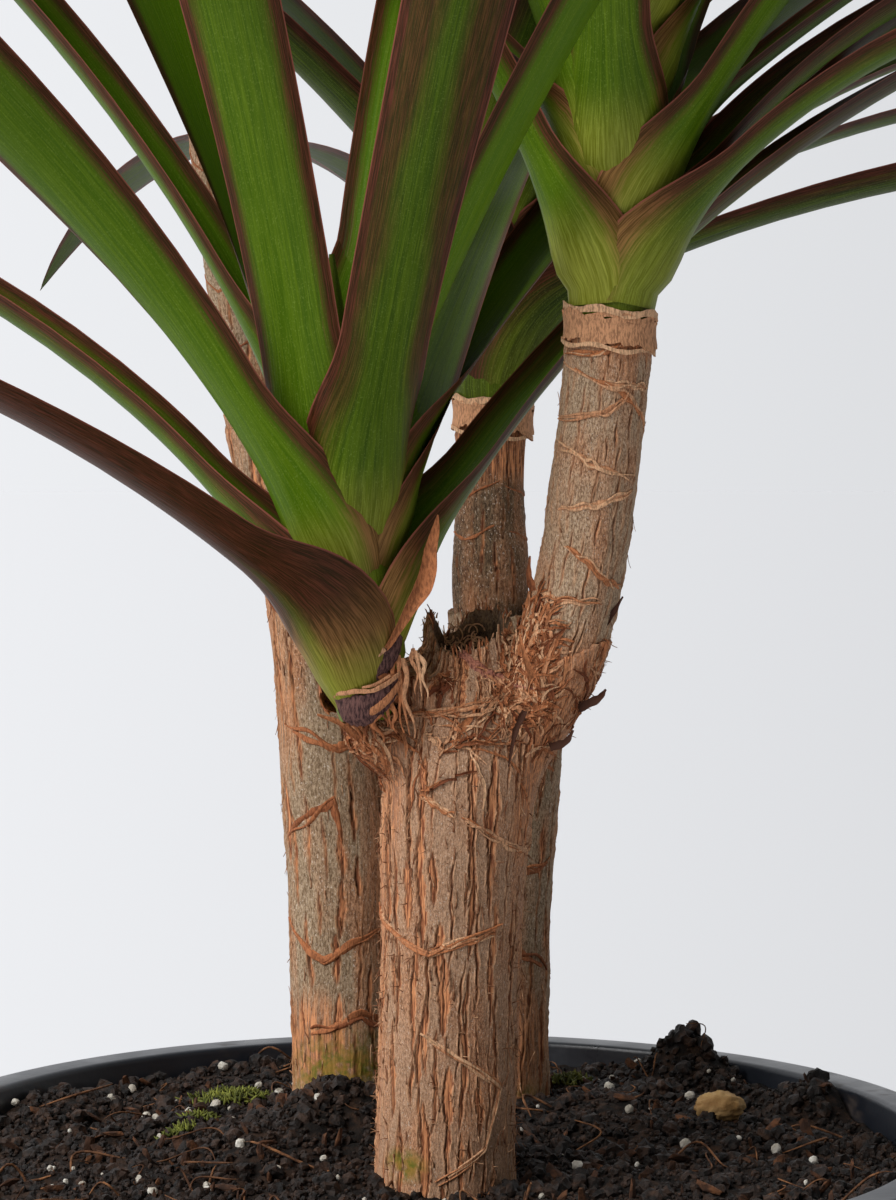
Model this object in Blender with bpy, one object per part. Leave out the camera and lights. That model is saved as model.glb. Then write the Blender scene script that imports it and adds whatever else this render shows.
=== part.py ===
"""A potted Madagascar dragon tree: a black pot of peat, three canes, three branches and four
heads of long strap leaves.

The origin is the middle of the pot's flat underside, +Z is up and +Y is the back of the plant.
Lengths are metres and angles are degrees. A leaf's azimuth is 0 towards +X and 90 towards +Y.
"""
import math
from collections import namedtuple

import bmesh
import bpy
import numpy as np
from mathutils import Vector
from mathutils.bvhtree import BVHTree

# Clearance between neighbouring pieces
GAP = 0.0003
UPRIGHT = (0.0, 0.0, 1.0)

# Pot: a tapered round nursery pot with a folded lip
POT_HEIGHT = 0.175
POT_LIP_RADIUS = 0.105
POT_BASE_RADIUS = 0.080
POT_WALL = 0.0022
POT_LIP_DEPTH = 0.013
POT_LIP_REACH = 0.0058
POT_LIP_FOLD = 0.003
POT_ROUND_OFF = 0.0008
POT_FOOT_ROUND = 0.0012
POT_SIDES = 48
DRAIN_HOLE_RADIUS = 0.005
DRAIN_HOLE_CIRCLE = 0.052
DRAIN_HOLES = 4
DRAIN_HOLE_SIDES = 12

# Peat: its level at the wall, its dome, and the mounds that lie on it
PEAT_LEVEL = 0.1680
PEAT_DOME = 0.0035
PEAT_RINGS = 12
Mound = namedtuple("Mound", "x y height reach")
MOUNDS = (
    Mound(-0.016, 0.010, 0.0110, 0.013),
    Mound(-0.030, -0.012, 0.0045, 0.014),
    Mound(0.056, 0.070, 0.0110, 0.010),
    Mound(0.082, 0.044, 0.0070, 0.009),
    Mound(0.042, 0.034, 0.0030, 0.022),
    Mound(-0.078, 0.042, 0.0040, 0.012),
    Mound(-0.050, 0.020, 0.0030, 0.012),
)

# Canes: paths from the flat foot to the sawn top, with the radius at each point
CANE_SIDES = 14
CANE_STEPS = 13
CANE_RING_PITCH = 0.017
CANE_RING_SWELL = 0.015
FRONT_CANE_PATH = ((0.0044, -0.030, 0.140), (0.0046, -0.030, 0.178), (0.0057, -0.030, 0.216),
                   (0.0070, -0.030, 0.246), (0.0090, -0.028, 0.263), (0.0090, -0.027, 0.2775))
FRONT_CANE_RADII = (0.0136, 0.0131, 0.0128, 0.0142, 0.0106, 0.0078)
REAR_LEFT_CANE_PATH = ((-0.0156, 0.033, 0.140), (-0.0160, 0.033, 0.184), (-0.0180, 0.033, 0.236),
                       (-0.0216, 0.033, 0.273), (-0.0272, 0.033, 0.3120))
REAR_LEFT_CANE_RADII = (0.0128, 0.0111, 0.0108, 0.0103, 0.0098)
REAR_RIGHT_CANE_PATH = ((0.0148, 0.045, 0.140), (0.0154, 0.045, 0.190), (0.0166, 0.045, 0.222),
                        (0.0180, 0.045, 0.250), (0.0178, 0.045, 0.2750))
REAR_RIGHT_CANE_RADII = (0.0122, 0.0108, 0.0106, 0.0109, 0.0112)
SAWN_DISH_RADIUS = 0.0075
SAWN_DISH_DEPTH = 0.0030
FRONT_DISH = (0.0092, -0.027, 0.2782)
REAR_RIGHT_DISH = (0.0205, 0.045, 0.2758)

# Collars: the swollen stubs at a fork. Each runs from inside its cane to the seat of the piece
# that grows on it, and ends square to that piece's lean.
COLLAR_STEPS = 5
Collar = namedtuple("Collar", "start seat lean inner_radius seat_radius")
FRONT_RIGHT_COLLAR = Collar((0.0060, -0.030, 0.2400), (0.0277, -0.030, 0.2770), (0.27, 0.0, 1.0),
                            0.0075, 0.0082)
FRONT_LEFT_COLLAR = Collar((0.0030, -0.032, 0.2525), (-0.0102, -0.0382, 0.2580), (-0.07, -0.02, 1.0),
                           0.0066, 0.0056)
REAR_LEFT_COLLAR = Collar((-0.0245, 0.033, 0.2920), (-0.0335, 0.033, 0.3180), (-0.15, 0.0, 1.0),
                          0.0092, 0.0078)
REAR_RIGHT_COLLAR = Collar((0.0172, 0.045, 0.2580), (0.0139, 0.045, 0.2810), (0.0, 0.0, 1.0),
                           0.0095, 0.0082)

# Branches: the paths that carry on from the collars' seats
BRANCH_SIDES = 12
BRANCH_STEPS = 8
BRANCH_STRAIGHT = 0.004
BRANCH_RING_PITCH = 0.011
FRONT_RIGHT_BRANCH_END = ((0.0307, -0.030, 0.2915), (0.0338, -0.030, 0.3168), (0.0350, -0.030, 0.3312))
FRONT_RIGHT_BRANCH_RADII = (0.0082, 0.0081, 0.0080, 0.0079, 0.0080)
REAR_LEFT_BRANCH_END = ((-0.0385, 0.033, 0.3510), (-0.0440, 0.033, 0.3990), (-0.0475, 0.034, 0.4380))
REAR_LEFT_BRANCH_RADII = (0.0076, 0.0075, 0.0070, 0.0068, 0.0072)
REAR_RIGHT_BRANCH_END = ((0.0136, 0.045, 0.2930), (0.0138, 0.045, 0.3050), (0.0144, 0.045, 0.3150))
REAR_RIGHT_BRANCH_RADII = (0.0080, 0.0080, 0.0074, 0.0072, 0.0076)

# Leaves: a clasping sheath that opens within OPEN_LENGTH and flattens within FLAT_LENGTH into a
# channelled strap. The solid is thicker than the living leaf, a hundredth of its length.
LEAF_LENGTH = 0.38
LEAF_WIDTH = 0.022
LEAF_THICKNESS = 0.0042
LEAF_LINE_STEPS = 400
LEAF_ROWS = (0.0, 0.016, 0.034, 0.060, 0.105, 0.170, 0.240, 0.305, 0.350)
SHEATH_WRAP = 66.0
SHEATH_START_ANGLE = 8.0
OPEN_LENGTH = 0.036
FLAT_LENGTH = 0.060
BEND_LENGTH = 0.090
RULE_CUP = 48.0
ROOT_DEPTH = 0.0035
ROOT_LIFT = 0.0012
CLEARANCE = 0.0009
SHOWN_TRIES = ((0.0, 0.0),)
RULE_TRIES = ((0, 0), (9, 0), (-9, 0), (0, 6), (18, 0), (-18, 0), (9, 6), (-9, 6), (0, -6),
              (27, 3), (-27, 3))
GOLDEN_ANGLE = 137.5

# Head core: the stem inside the sheaths, as height and radius shares
CORE_HEIGHT = 0.085
CORE_PROFILE = ((0.0, 0.82), (0.06, 1.04), (0.14, 1.14), (0.26, 1.02), (0.45, 0.78), (0.72, 0.46),
                (1.0, 0.06))
CORE_SIDES = 12

Leaf = namedtuple("Leaf", "rise azimuth spread bend roll cup length width")
Head = namedtuple("Head", "name base lean radius shown rule_count oldest first_azimuth closed_sector")

# Leaves that grow where the plant is seen best: rise, azimuth, spread, bend, roll and cup
FRONT_LEFT_SHOWN = (
    (0.000, 229, 48, 22, 11, 53),
    (0.006, 36, 34, 30, 12, 62),
    (0.005, 167, 18, 54, 1, 80),
    (0.026, 290, 34, 8, 24, 40),
    (0.018, 214, 18, 33, -40, 58),
    (0.019, 48, 25, 19, 24, 24),
    (0.039, 156, 15, 32, -2, 80),
    (0.024, 241, 0, 22, -15, 32),
    (0.034, 174, 0, 24, 38, 26),
    (0.044, 64, 12, 27, -12, 41),
)
FRONT_RIGHT_SHOWN = (
    (0.000, 354, 24, 66, 6, 56),
    (0.000, 196, 24, 18, 24, 74),
    (0.000, 47, 50, 14, 20, 62),
    (0.002, 26, 25, 54, 12, 74),
    (0.020, 254, 18, 14, -10, 50),
    (0.012, 345, 24, 23, 12, 56),
    (0.022, 203, 23, 4, 0, 50),
)

HEADS = (
    Head("front_left_head", (-0.0102, -0.0382, 0.2583), (-0.07, -0.02, 1.0), 0.0086,
         FRONT_LEFT_SHOWN, 24, 9, 100.0, (130.0, 355.0)),
    Head("front_right_head", (0.0350, -0.0300, 0.3315), (0.05, 0.0, 1.0), 0.0086,
         FRONT_RIGHT_SHOWN, 26, 0, 130.0, (170.0, 360.0)),
    Head("rear_right_head", (0.0144, 0.0450, 0.3153), (0.03, 0.04, 1.0), 0.0082,
         (), 30, 0, 200.0, (160.0, 202.0)),
    Head("rear_left_head", (-0.0475, 0.0340, 0.4383), (-0.09, 0.03, 1.0), 0.0078,
         (), 30, 0, 20.0, None),
)

BRANCHES = (
    ("front_right_branch", FRONT_RIGHT_COLLAR, FRONT_RIGHT_BRANCH_END, FRONT_RIGHT_BRANCH_RADII, HEADS[1]),
    ("rear_right_branch", REAR_RIGHT_COLLAR, REAR_RIGHT_BRANCH_END, REAR_RIGHT_BRANCH_RADII, HEADS[2]),
    ("rear_left_branch", REAR_LEFT_COLLAR, REAR_LEFT_BRANCH_END, REAR_LEFT_BRANCH_RADII, HEADS[3]),
)

BARK_COLOUR = (0.36, 0.24, 0.16)
LEAF_COLOUR = (0.10, 0.20, 0.035)
PEAT_COLOUR = (0.030, 0.020, 0.015)
POT_COLOUR = (0.018, 0.020, 0.024)


def clear_scene():
    for old in list(bpy.data.objects):
        bpy.data.objects.remove(old, do_unlink=True)


def make_material(name, colour, roughness):
    material = bpy.data.materials.new(name)
    material.use_nodes = True
    shader = material.node_tree.nodes["Principled BSDF"]
    shader.inputs["Base Color"].default_value = (*colour, 1.0)
    shader.inputs["Roughness"].default_value = roughness
    shader.inputs["Metallic"].default_value = 0.0
    return material


def make_object(name, points, faces, material=None):
    mesh = bpy.data.meshes.new(name)
    mesh.from_pydata([tuple(map(float, point)) for point in points], [], faces)
    mesh.update()
    obj = bpy.data.objects.new(name, mesh)
    bpy.context.collection.objects.link(obj)
    if material is not None:
        mesh.materials.append(material)
    return obj


def smooth_step(value):
    value = np.clip(value, 0.0, 1.0)
    return value * value * (3.0 - 2.0 * value)


def unit(vector):
    vector = np.asarray(vector, float)
    return vector / np.linalg.norm(vector)


def spline(points, count):
    """Evenly stepped points on a Catmull-Rom curve through the given ones, ends included."""
    points = np.asarray(points, float)
    padded = np.vstack((2 * points[0] - points[1], points, 2 * points[-1] - points[-2]))
    result = []
    for value in np.linspace(0.0, len(points) - 1.0, count):
        span = min(int(value), len(points) - 2)
        t = value - span
        a, b, c, d = padded[span:span + 4]
        result.append(0.5 * (2 * b + (c - a) * t + (2 * a - 5 * b + 4 * c - d) * t ** 2
                             + (3 * b - a - 3 * c + d) * t ** 3))
    return np.array(result)


def tube_faces(rows, sides):
    """Quads between rings of points, with a flat cap on each end."""
    faces = [tuple(reversed(range(sides)))]
    for row in range(rows - 1):
        low, high = row * sides, (row + 1) * sides
        for k in range(sides):
            n = (k + 1) % sides
            faces.append((low + k, low + n, high + n, high + k))
    faces.append(tuple(range((rows - 1) * sides, rows * sides)))
    return faces


def limb_points(path, radii, steps, sides, pitch=0.0, grow=0.0, first_axis=None, last_axis=None):
    """Rings round a smooth path, each square to the path unless an end's axis is given."""
    radii = np.interp(np.linspace(0, 1, len(path)), np.linspace(0, 1, len(radii)), radii)
    line = spline([(*point, radius) for point, radius in zip(path, radii)], steps)
    centres, radius = line[:, :3], line[:, 3]
    tangents = np.gradient(centres, axis=0)
    tangents[0] = centres[1] - centres[0]
    tangents[-1] = centres[-1] - centres[-2]
    rings = []
    for k, centre in enumerate(centres):
        axis = unit(tangents[k])
        if k == 0 and first_axis is not None:
            axis = unit(first_axis)
        if k == steps - 1 and last_axis is not None:
            axis = unit(last_axis)
        across = unit(np.cross((0.0, 1.0, 0.0), axis))
        forward = np.cross(axis, across)
        swell = 1.0
        if pitch and 0 < k < steps - 1:
            swell += CANE_RING_SWELL * math.cos(2 * math.pi * centre[2] / pitch)
        size = radius[k] * swell + grow
        for turn in np.arange(sides) * 2 * math.pi / sides:
            rings.append(centre + size * (math.cos(turn) * across + math.sin(turn) * forward))
    return np.array(rings)


def make_limb(name, path, radii, steps, sides, material=None, **options):
    rings = limb_points(path, radii, steps, sides, **options)
    return make_object(name, rings, tube_faces(steps, sides), material)


def join_with(target, operands, operation, solver="EXACT"):
    """Boolean of target with a collection of operands, applied, with the operands removed."""
    group = bpy.data.collections.new(target.name + "_operands")
    bpy.context.scene.collection.children.link(group)
    for operand in operands:
        for owner in list(operand.users_collection):
            owner.objects.unlink(operand)
        group.objects.link(operand)
    modifier = target.modifiers.new("join", "BOOLEAN")
    modifier.operation = operation
    modifier.operand_type = "COLLECTION"
    modifier.collection = group
    modifier.solver = solver
    bpy.context.view_layer.update()
    evaluated = target.evaluated_get(bpy.context.evaluated_depsgraph_get())
    mesh = bpy.data.meshes.new_from_object(evaluated)
    target.modifiers.clear()
    target.data = mesh
    for operand in operands:
        bpy.data.objects.remove(operand, do_unlink=True)
    bpy.data.collections.remove(group)


def keep_outer_skin(obj):
    """Keep the largest shell only: sealed hollows are filled and loose scraps are dropped."""
    bm = bmesh.new()
    bm.from_mesh(obj.data)
    bmesh.ops.remove_doubles(bm, verts=bm.verts, dist=0.000002)
    bmesh.ops.triangulate(bm, faces=bm.faces)
    unseen = set(bm.faces)
    shells = []
    while unseen:
        stack = [unseen.pop()]
        shell = []
        while stack:
            face = stack.pop()
            shell.append(face)
            for edge in face.edges:
                for neighbour in edge.link_faces:
                    if neighbour in unseen:
                        unseen.remove(neighbour)
                        stack.append(neighbour)
        shells.append(shell)

    def volume(shell):
        return sum(f.verts[0].co.dot(f.verts[1].co.cross(f.verts[2].co)) for f in shell) / 6.0

    shells.sort(key=volume)
    extra = [face for shell in shells[:-1] for face in shell]
    bmesh.ops.delete(bm, geom=extra, context="FACES")
    bm.to_mesh(obj.data)
    bm.free()


def wall_radius(height):
    """Outer radius of the pot's tapered wall."""
    top = POT_LIP_RADIUS - POT_LIP_REACH
    return POT_BASE_RADIUS + (top - POT_BASE_RADIUS) * height / POT_HEIGHT


def turned(name, profile, material, sides=POT_SIDES):
    """Solid of revolution from a profile of radius and height that starts and ends on the axis."""
    points = [(0.0, 0.0, profile[0][1])]
    for radius, height in profile[1:-1]:
        for turn in np.arange(sides) * 2 * math.pi / sides:
            points.append((radius * math.cos(turn), radius * math.sin(turn), height))
    points.append((0.0, 0.0, profile[-1][1]))
    rows = len(profile) - 2
    faces = [(0, 1 + (k + 1) % sides, 1 + k) for k in range(sides)]
    for row in range(rows - 1):
        low, high = 1 + row * sides, 1 + (row + 1) * sides
        for k in range(sides):
            n = (k + 1) % sides
            faces.append((low + k, low + n, high + n, high + k))
    last = 1 + (rows - 1) * sides
    faces += [(last + k, last + (k + 1) % sides, len(points) - 1) for k in range(sides)]
    return make_object(name, points, faces, material)


def make_pot(material):
    lip = POT_HEIGHT - POT_LIP_DEPTH
    top_wall = wall_radius(lip)
    inner = POT_LIP_RADIUS - POT_LIP_REACH - POT_WALL
    fold = POT_HEIGHT - POT_LIP_FOLD
    profile = [
        (0.0, 0.0), (POT_BASE_RADIUS - POT_FOOT_ROUND, 0.0), (POT_BASE_RADIUS, POT_FOOT_ROUND),
        (top_wall, lip), (wall_radius(fold), fold),
        (POT_LIP_RADIUS - POT_WALL, fold - 2 * GAP), (POT_LIP_RADIUS - POT_WALL, lip),
        (POT_LIP_RADIUS, lip), (POT_LIP_RADIUS, POT_HEIGHT - POT_ROUND_OFF * 2),
        (POT_LIP_RADIUS - POT_ROUND_OFF, POT_HEIGHT - POT_ROUND_OFF * 0.4),
        (POT_LIP_RADIUS - POT_ROUND_OFF * 3, POT_HEIGHT),
        (inner + POT_ROUND_OFF, POT_HEIGHT - POT_ROUND_OFF * 0.5),
        (inner, POT_HEIGHT - POT_ROUND_OFF * 2), (POT_BASE_RADIUS - POT_WALL, POT_WALL), (0.0, POT_WALL),
    ]
    pot = turned("pot", profile, material)
    holes = []
    for k in range(DRAIN_HOLES):
        turn = 2 * math.pi * (k + 0.5) / DRAIN_HOLES
        x, y = DRAIN_HOLE_CIRCLE * math.cos(turn), DRAIN_HOLE_CIRCLE * math.sin(turn)
        path = ((x, y, -POT_WALL), (x, y, 2 * POT_WALL))
        holes.append(make_limb("drain", path, (DRAIN_HOLE_RADIUS,) * 2, 2, DRAIN_HOLE_SIDES))
    join_with(pot, holes, "DIFFERENCE")


def peat_height(x, y):
    share = min(math.hypot(x, y) / POT_BASE_RADIUS, 1.2)
    height = PEAT_LEVEL + PEAT_DOME * max(1.0 - share ** 2, 0.0)
    for mound in MOUNDS:
        away = ((x - mound.x) ** 2 + (y - mound.y) ** 2) / mound.reach ** 2
        height += mound.height * math.exp(-away)
    return height


def make_peat(material, canes):
    """Peat inside the pot, its top a relief, with a socket for each cane's foot."""
    points = [(0.0, 0.0, POT_WALL + GAP)]
    faces = []
    turns = np.arange(POT_SIDES) * 2 * math.pi / POT_SIDES
    floor = POT_WALL + GAP
    # The pot's inner wall runs straight from its floor to its lip
    inner_top = POT_LIP_RADIUS - POT_LIP_REACH - POT_WALL
    inner_low = POT_BASE_RADIUS - POT_WALL

    def inner_radius(height):
        share = (height - POT_WALL) / (POT_HEIGHT - POT_ROUND_OFF * 2 - POT_WALL)
        return inner_low + (inner_top - inner_low) * share - 2 * GAP

    for turn in turns:
        radius = inner_radius(floor)
        points.append((radius * math.cos(turn), radius * math.sin(turn), floor))
    for ring in range(PEAT_RINGS, 0, -1):
        for turn in turns:
            radius = inner_radius(PEAT_LEVEL) * ring / PEAT_RINGS
            x, y = radius * math.cos(turn), radius * math.sin(turn)
            points.append((x, y, peat_height(x, y) if ring < PEAT_RINGS else PEAT_LEVEL))
    points.append((0.0, 0.0, peat_height(0.0, 0.0)))
    for k in range(POT_SIDES):
        faces.append((0, 1 + (k + 1) % POT_SIDES, 1 + k))
    for row in range(PEAT_RINGS):
        low, high = 1 + row * POT_SIDES, 1 + (row + 1) * POT_SIDES
        for k in range(POT_SIDES):
            n = (k + 1) % POT_SIDES
            faces.append((low + k, low + n, high + n, high + k))
    last = 1 + PEAT_RINGS * POT_SIDES
    for k in range(POT_SIDES):
        faces.append((last + k, last + (k + 1) % POT_SIDES, len(points) - 1))
    peat = make_object("peat", points, faces, material)
    sockets = []
    for path, radii in canes:
        foot = [list(point) for point in path]
        foot[0][2] -= GAP
        sockets.append(make_limb("socket", foot, radii, CANE_STEPS, CANE_SIDES,
                                 pitch=CANE_RING_PITCH, grow=GAP, first_axis=UPRIGHT))
    join_with(peat, sockets, "DIFFERENCE")


def collar_path(collar):
    """Curve of a collar that leaves its cane and ends along the lean of what grows on it."""
    start, seat, lean = np.array(collar.start), np.array(collar.seat), unit(collar.lean)
    bend = seat - lean * 0.5 * np.linalg.norm(seat - start)
    ts = np.linspace(0.0, 1.0, COLLAR_STEPS)[:, None]
    return (1 - ts) ** 2 * start + 2 * ts * (1 - ts) * bend + ts ** 2 * seat


def make_cane(name, path, radii, collars, dish, material):
    """A cane with its fork: collars fused on, and the sawn top hollowed where it has rotted."""
    cane = make_limb(name, path, radii, CANE_STEPS, CANE_SIDES, material,
                     pitch=CANE_RING_PITCH, first_axis=UPRIGHT)
    stubs = []
    for collar in collars:
        stubs.append(make_limb("stub", collar_path(collar), (collar.inner_radius, collar.seat_radius),
                               COLLAR_STEPS, BRANCH_SIDES, last_axis=collar.lean))
    join_with(cane, stubs, "UNION")
    if dish is not None:
        bm = bmesh.new()
        bmesh.ops.create_icosphere(bm, subdivisions=1, radius=SAWN_DISH_RADIUS)
        for vert in bm.verts:
            vert.co.z *= SAWN_DISH_DEPTH / SAWN_DISH_RADIUS
            vert.co += Vector(dish)
        mesh = bpy.data.meshes.new("dish")
        bm.to_mesh(mesh)
        bm.free()
        cutter = bpy.data.objects.new("dish", mesh)
        bpy.context.collection.objects.link(cutter)
        join_with(cane, [cutter], "DIFFERENCE")
    keep_outer_skin(cane)


def branch_path(collar, end):
    """Path of a branch: it starts GAP clear of its collar's seat and ends GAP short of its head."""
    start = np.array(collar.seat) + unit(collar.lean) * GAP
    return (tuple(start), tuple(start + unit(collar.lean) * BRANCH_STRAIGHT), *end)


def head_frame(head):
    axis = unit(head.lean)
    across = unit(np.cross((0.0, 1.0, 0.0), axis))
    return axis, across, np.cross(axis, across)


def leaf_solid(head, leaf, grow=0.0):
    """Closed strap of a leaf: two margins, an outer keel and an inner one in each row."""
    axis, across, forward = head_frame(head)
    azimuth = math.radians(leaf.azimuth)
    out = math.cos(azimuth) * across + math.sin(azimuth) * forward
    fine = np.linspace(0.0, leaf.length, LEAF_LINE_STEPS)
    droop = 20.0 + 0.4 * leaf.spread
    opened = smooth_step(fine / OPEN_LENGTH)
    angle = np.radians(SHEATH_START_ANGLE + (leaf.spread - SHEATH_START_ANGLE) * opened
                       + leaf.bend * (1 - np.exp(-fine / BEND_LENGTH))
                       + droop * (fine / leaf.length) ** 1.8)
    tangent = np.outer(np.sin(angle), out) + np.outer(np.cos(angle), axis)
    line = np.cumsum(tangent, axis=0) * (fine[1] - fine[0])
    start = np.array(head.base) + axis * (leaf.rise + ROOT_LIFT) + out * head.radius
    points = []
    for share in [row / LEAF_LENGTH for row in LEAF_ROWS]:
        i = int(round(share * (LEAF_LINE_STEPS - 1)))
        s = fine[i]
        inward = -math.cos(angle[i]) * out + math.sin(angle[i]) * axis
        side = np.cross(tangent[i], inward)
        roll = math.radians(leaf.roll) * smooth_step((s - 0.5 * OPEN_LENGTH) / (0.25 * leaf.length))
        side, inward = (math.cos(roll) * side + math.sin(roll) * inward,
                        math.cos(roll) * inward - math.sin(roll) * side)
        flat = smooth_step(s / FLAT_LENGTH)
        blade = 0.5 * leaf.width * (0.8 + 0.2 * smooth_step((s - FLAT_LENGTH) / (0.28 * leaf.length)))
        blade *= max(1.0 - share ** 2.6, 0.0) ** 0.8
        cup = math.radians(leaf.cup * (1 - 0.6 * share))
        wrap = math.radians(SHEATH_WRAP)
        half_arc = (1 - flat) * wrap + flat * cup
        half_width = (1 - flat) * head.radius * wrap + flat * blade + grow
        bow = half_width / half_arc
        rim = bow * math.sin(half_arc)
        rise = bow * (1 - math.cos(half_arc))
        centre = start + line[i]
        if i == 0:
            centre = centre - out * ROOT_DEPTH
        thick = LEAF_THICKNESS * (1.0 - 0.55 * share)
        points.append(centre - rim * side + rise * inward)
        points.append(centre - grow * inward)
        points.append(centre + rim * side + rise * inward)
        points.append(centre + (thick + grow) * inward)
    tip = start + line[-1] + grow * tangent[-1]
    rows_made = len(LEAF_ROWS)
    faces = [(0, 1, 2, 3)]
    for row in range(rows_made - 1):
        low, high = 4 * row, 4 * (row + 1)
        for k in range(4):
            n = (k + 1) % 4
            faces.append((low + n, low + k, high + k, high + n))
    last = 4 * (rows_made - 1)
    for k in range(4):
        faces.append((last + (k + 1) % 4, last + k, 4 * rows_made))
    return np.vstack((points, tip)), faces


def rule_leaves(head):
    """Leaves by phyllotaxis: oldest lowest and widest open, youngest highest and upright."""
    leaves = []
    for k in range(head.oldest, head.rule_count):
        age = 1.0 - k / (head.rule_count - 1)
        azimuth = (head.first_azimuth + GOLDEN_ANGLE * k) % 360.0
        sector = head.closed_sector
        if sector and sector[0] < azimuth < sector[1]:
            continue
        wave = math.sin(2.4 * k)
        length = LEAF_LENGTH * (0.9 + 0.16 * math.sin(math.pi * min(age + 0.15, 1.0)) + 0.04 * wave)
        width = LEAF_WIDTH * (0.92 + 0.10 * math.sin(math.pi * age))
        spread = 6 + 50 * age ** 0.9 + 3 * wave
        leaves.append(Leaf(rise=0.062 * (1 - age) ** 1.1, azimuth=azimuth, spread=spread,
                           bend=6 + 22 * age, roll=10 * math.sin(1.7 * k), cup=RULE_CUP,
                           length=length, width=width))
    return leaves


def make_tree(points, faces):
    return BVHTree.FromPolygons([tuple(map(float, p)) for p in points], faces)


def plan_heads(limbs):
    """Choose each head's leaves: the shown ones first, then the rule's, rear heads first.

    A leaf that would touch a limb or another head's leaf tries a small turn or tilt, and is
    skipped if none of them is clear.
    """
    taken = [("limb", make_tree(points, faces)) for points, faces in limbs]
    chosen = {head.name: [] for head in HEADS}

    def is_clear(head, leaf):
        candidate = make_tree(*leaf_solid(head, leaf, CLEARANCE))
        return not any(owner != head.name and candidate.overlap(tree) for owner, tree in taken)

    queue = []
    for head in HEADS:
        for sizes in head.shown:
            queue.append((head, Leaf(*sizes, LEAF_LENGTH, LEAF_WIDTH), SHOWN_TRIES))
    for head in (HEADS[2], HEADS[3], HEADS[1], HEADS[0]):
        queue += [(head, leaf, RULE_TRIES) for leaf in rule_leaves(head)]
    for head, leaf, tries in queue:
        for turn, tilt in tries:
            trial = leaf._replace(azimuth=leaf.azimuth + turn, spread=leaf.spread + tilt)
            if is_clear(head, trial):
                chosen[head.name].append(trial)
                taken.append((head.name, make_tree(*leaf_solid(head, trial))))
                break
        else:
            if tries is SHOWN_TRIES:
                print("no room for a shown leaf:", head.name, leaf)
    return chosen


def make_head(head, leaves, material):
    axis, across, forward = head_frame(head)
    rings = []
    for height, share in CORE_PROFILE:
        centre = np.array(head.base) + axis * CORE_HEIGHT * height
        for turn in np.arange(CORE_SIDES) * 2 * math.pi / CORE_SIDES:
            rings.append(centre + head.radius * share * (math.cos(turn) * across + math.sin(turn) * forward))
    core = make_object(head.name, rings, tube_faces(len(CORE_PROFILE), CORE_SIDES), material)
    straps = [make_object("strap", *leaf_solid(head, leaf)) for leaf in leaves]
    join_with(core, straps, "UNION")
    keep_outer_skin(core)
    core.data.shade_flat()


def main():
    clear_scene()
    bark = make_material("bark", BARK_COLOUR, 0.85)
    leaf_green = make_material("leaf_green", LEAF_COLOUR, 0.40)
    peat = make_material("peat", PEAT_COLOUR, 0.95)
    plastic = make_material("pot_plastic", POT_COLOUR, 0.35)
    make_pot(plastic)
    canes = ((FRONT_CANE_PATH, FRONT_CANE_RADII), (REAR_LEFT_CANE_PATH, REAR_LEFT_CANE_RADII),
             (REAR_RIGHT_CANE_PATH, REAR_RIGHT_CANE_RADII))
    make_peat(peat, canes)
    make_cane("front_cane", *canes[0], (FRONT_RIGHT_COLLAR, FRONT_LEFT_COLLAR), FRONT_DISH, bark)
    make_cane("rear_left_cane", *canes[1], (REAR_LEFT_COLLAR,), None, bark)
    make_cane("rear_right_cane", *canes[2], (REAR_RIGHT_COLLAR,), REAR_RIGHT_DISH, bark)
    limbs = []
    for path, radii in canes:
        limbs.append((limb_points(path, radii, CANE_STEPS, CANE_SIDES), tube_faces(CANE_STEPS, CANE_SIDES)))
    for collar in (FRONT_LEFT_COLLAR, FRONT_RIGHT_COLLAR, REAR_LEFT_COLLAR, REAR_RIGHT_COLLAR):
        points = limb_points(collar_path(collar), (collar.inner_radius, collar.seat_radius), COLLAR_STEPS,
                             BRANCH_SIDES, last_axis=collar.lean)
        limbs.append((points, tube_faces(COLLAR_STEPS, BRANCH_SIDES)))
    for name, collar, end, radii, head in BRANCHES:
        options = dict(first_axis=collar.lean, last_axis=head.lean)
        path = branch_path(collar, end)
        make_limb(name, path, radii, BRANCH_STEPS, BRANCH_SIDES, bark, pitch=BRANCH_RING_PITCH, **options)
        limbs.append((limb_points(path, radii, BRANCH_STEPS, BRANCH_SIDES, **options),
                      tube_faces(BRANCH_STEPS, BRANCH_SIDES)))
    chosen = plan_heads(limbs)
    for head in HEADS:
        print(head.name, len(chosen[head.name]), "leaves")
        make_head(head, chosen[head.name], leaf_green)


main()
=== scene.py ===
"""Looks of a potted Madagascar dragon tree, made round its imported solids.

Metres, +Z up, origin in the middle of the pot's underside, +Y at the back of the plant. A turn
is an angle round an upright axis, 0 towards +X and 90 degrees towards +Y.
"""
import math
from collections import namedtuple

import bpy
import bmesh
import numpy as np
from mathutils import Matrix, Vector
from mathutils.bvhtree import BVHTree


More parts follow.
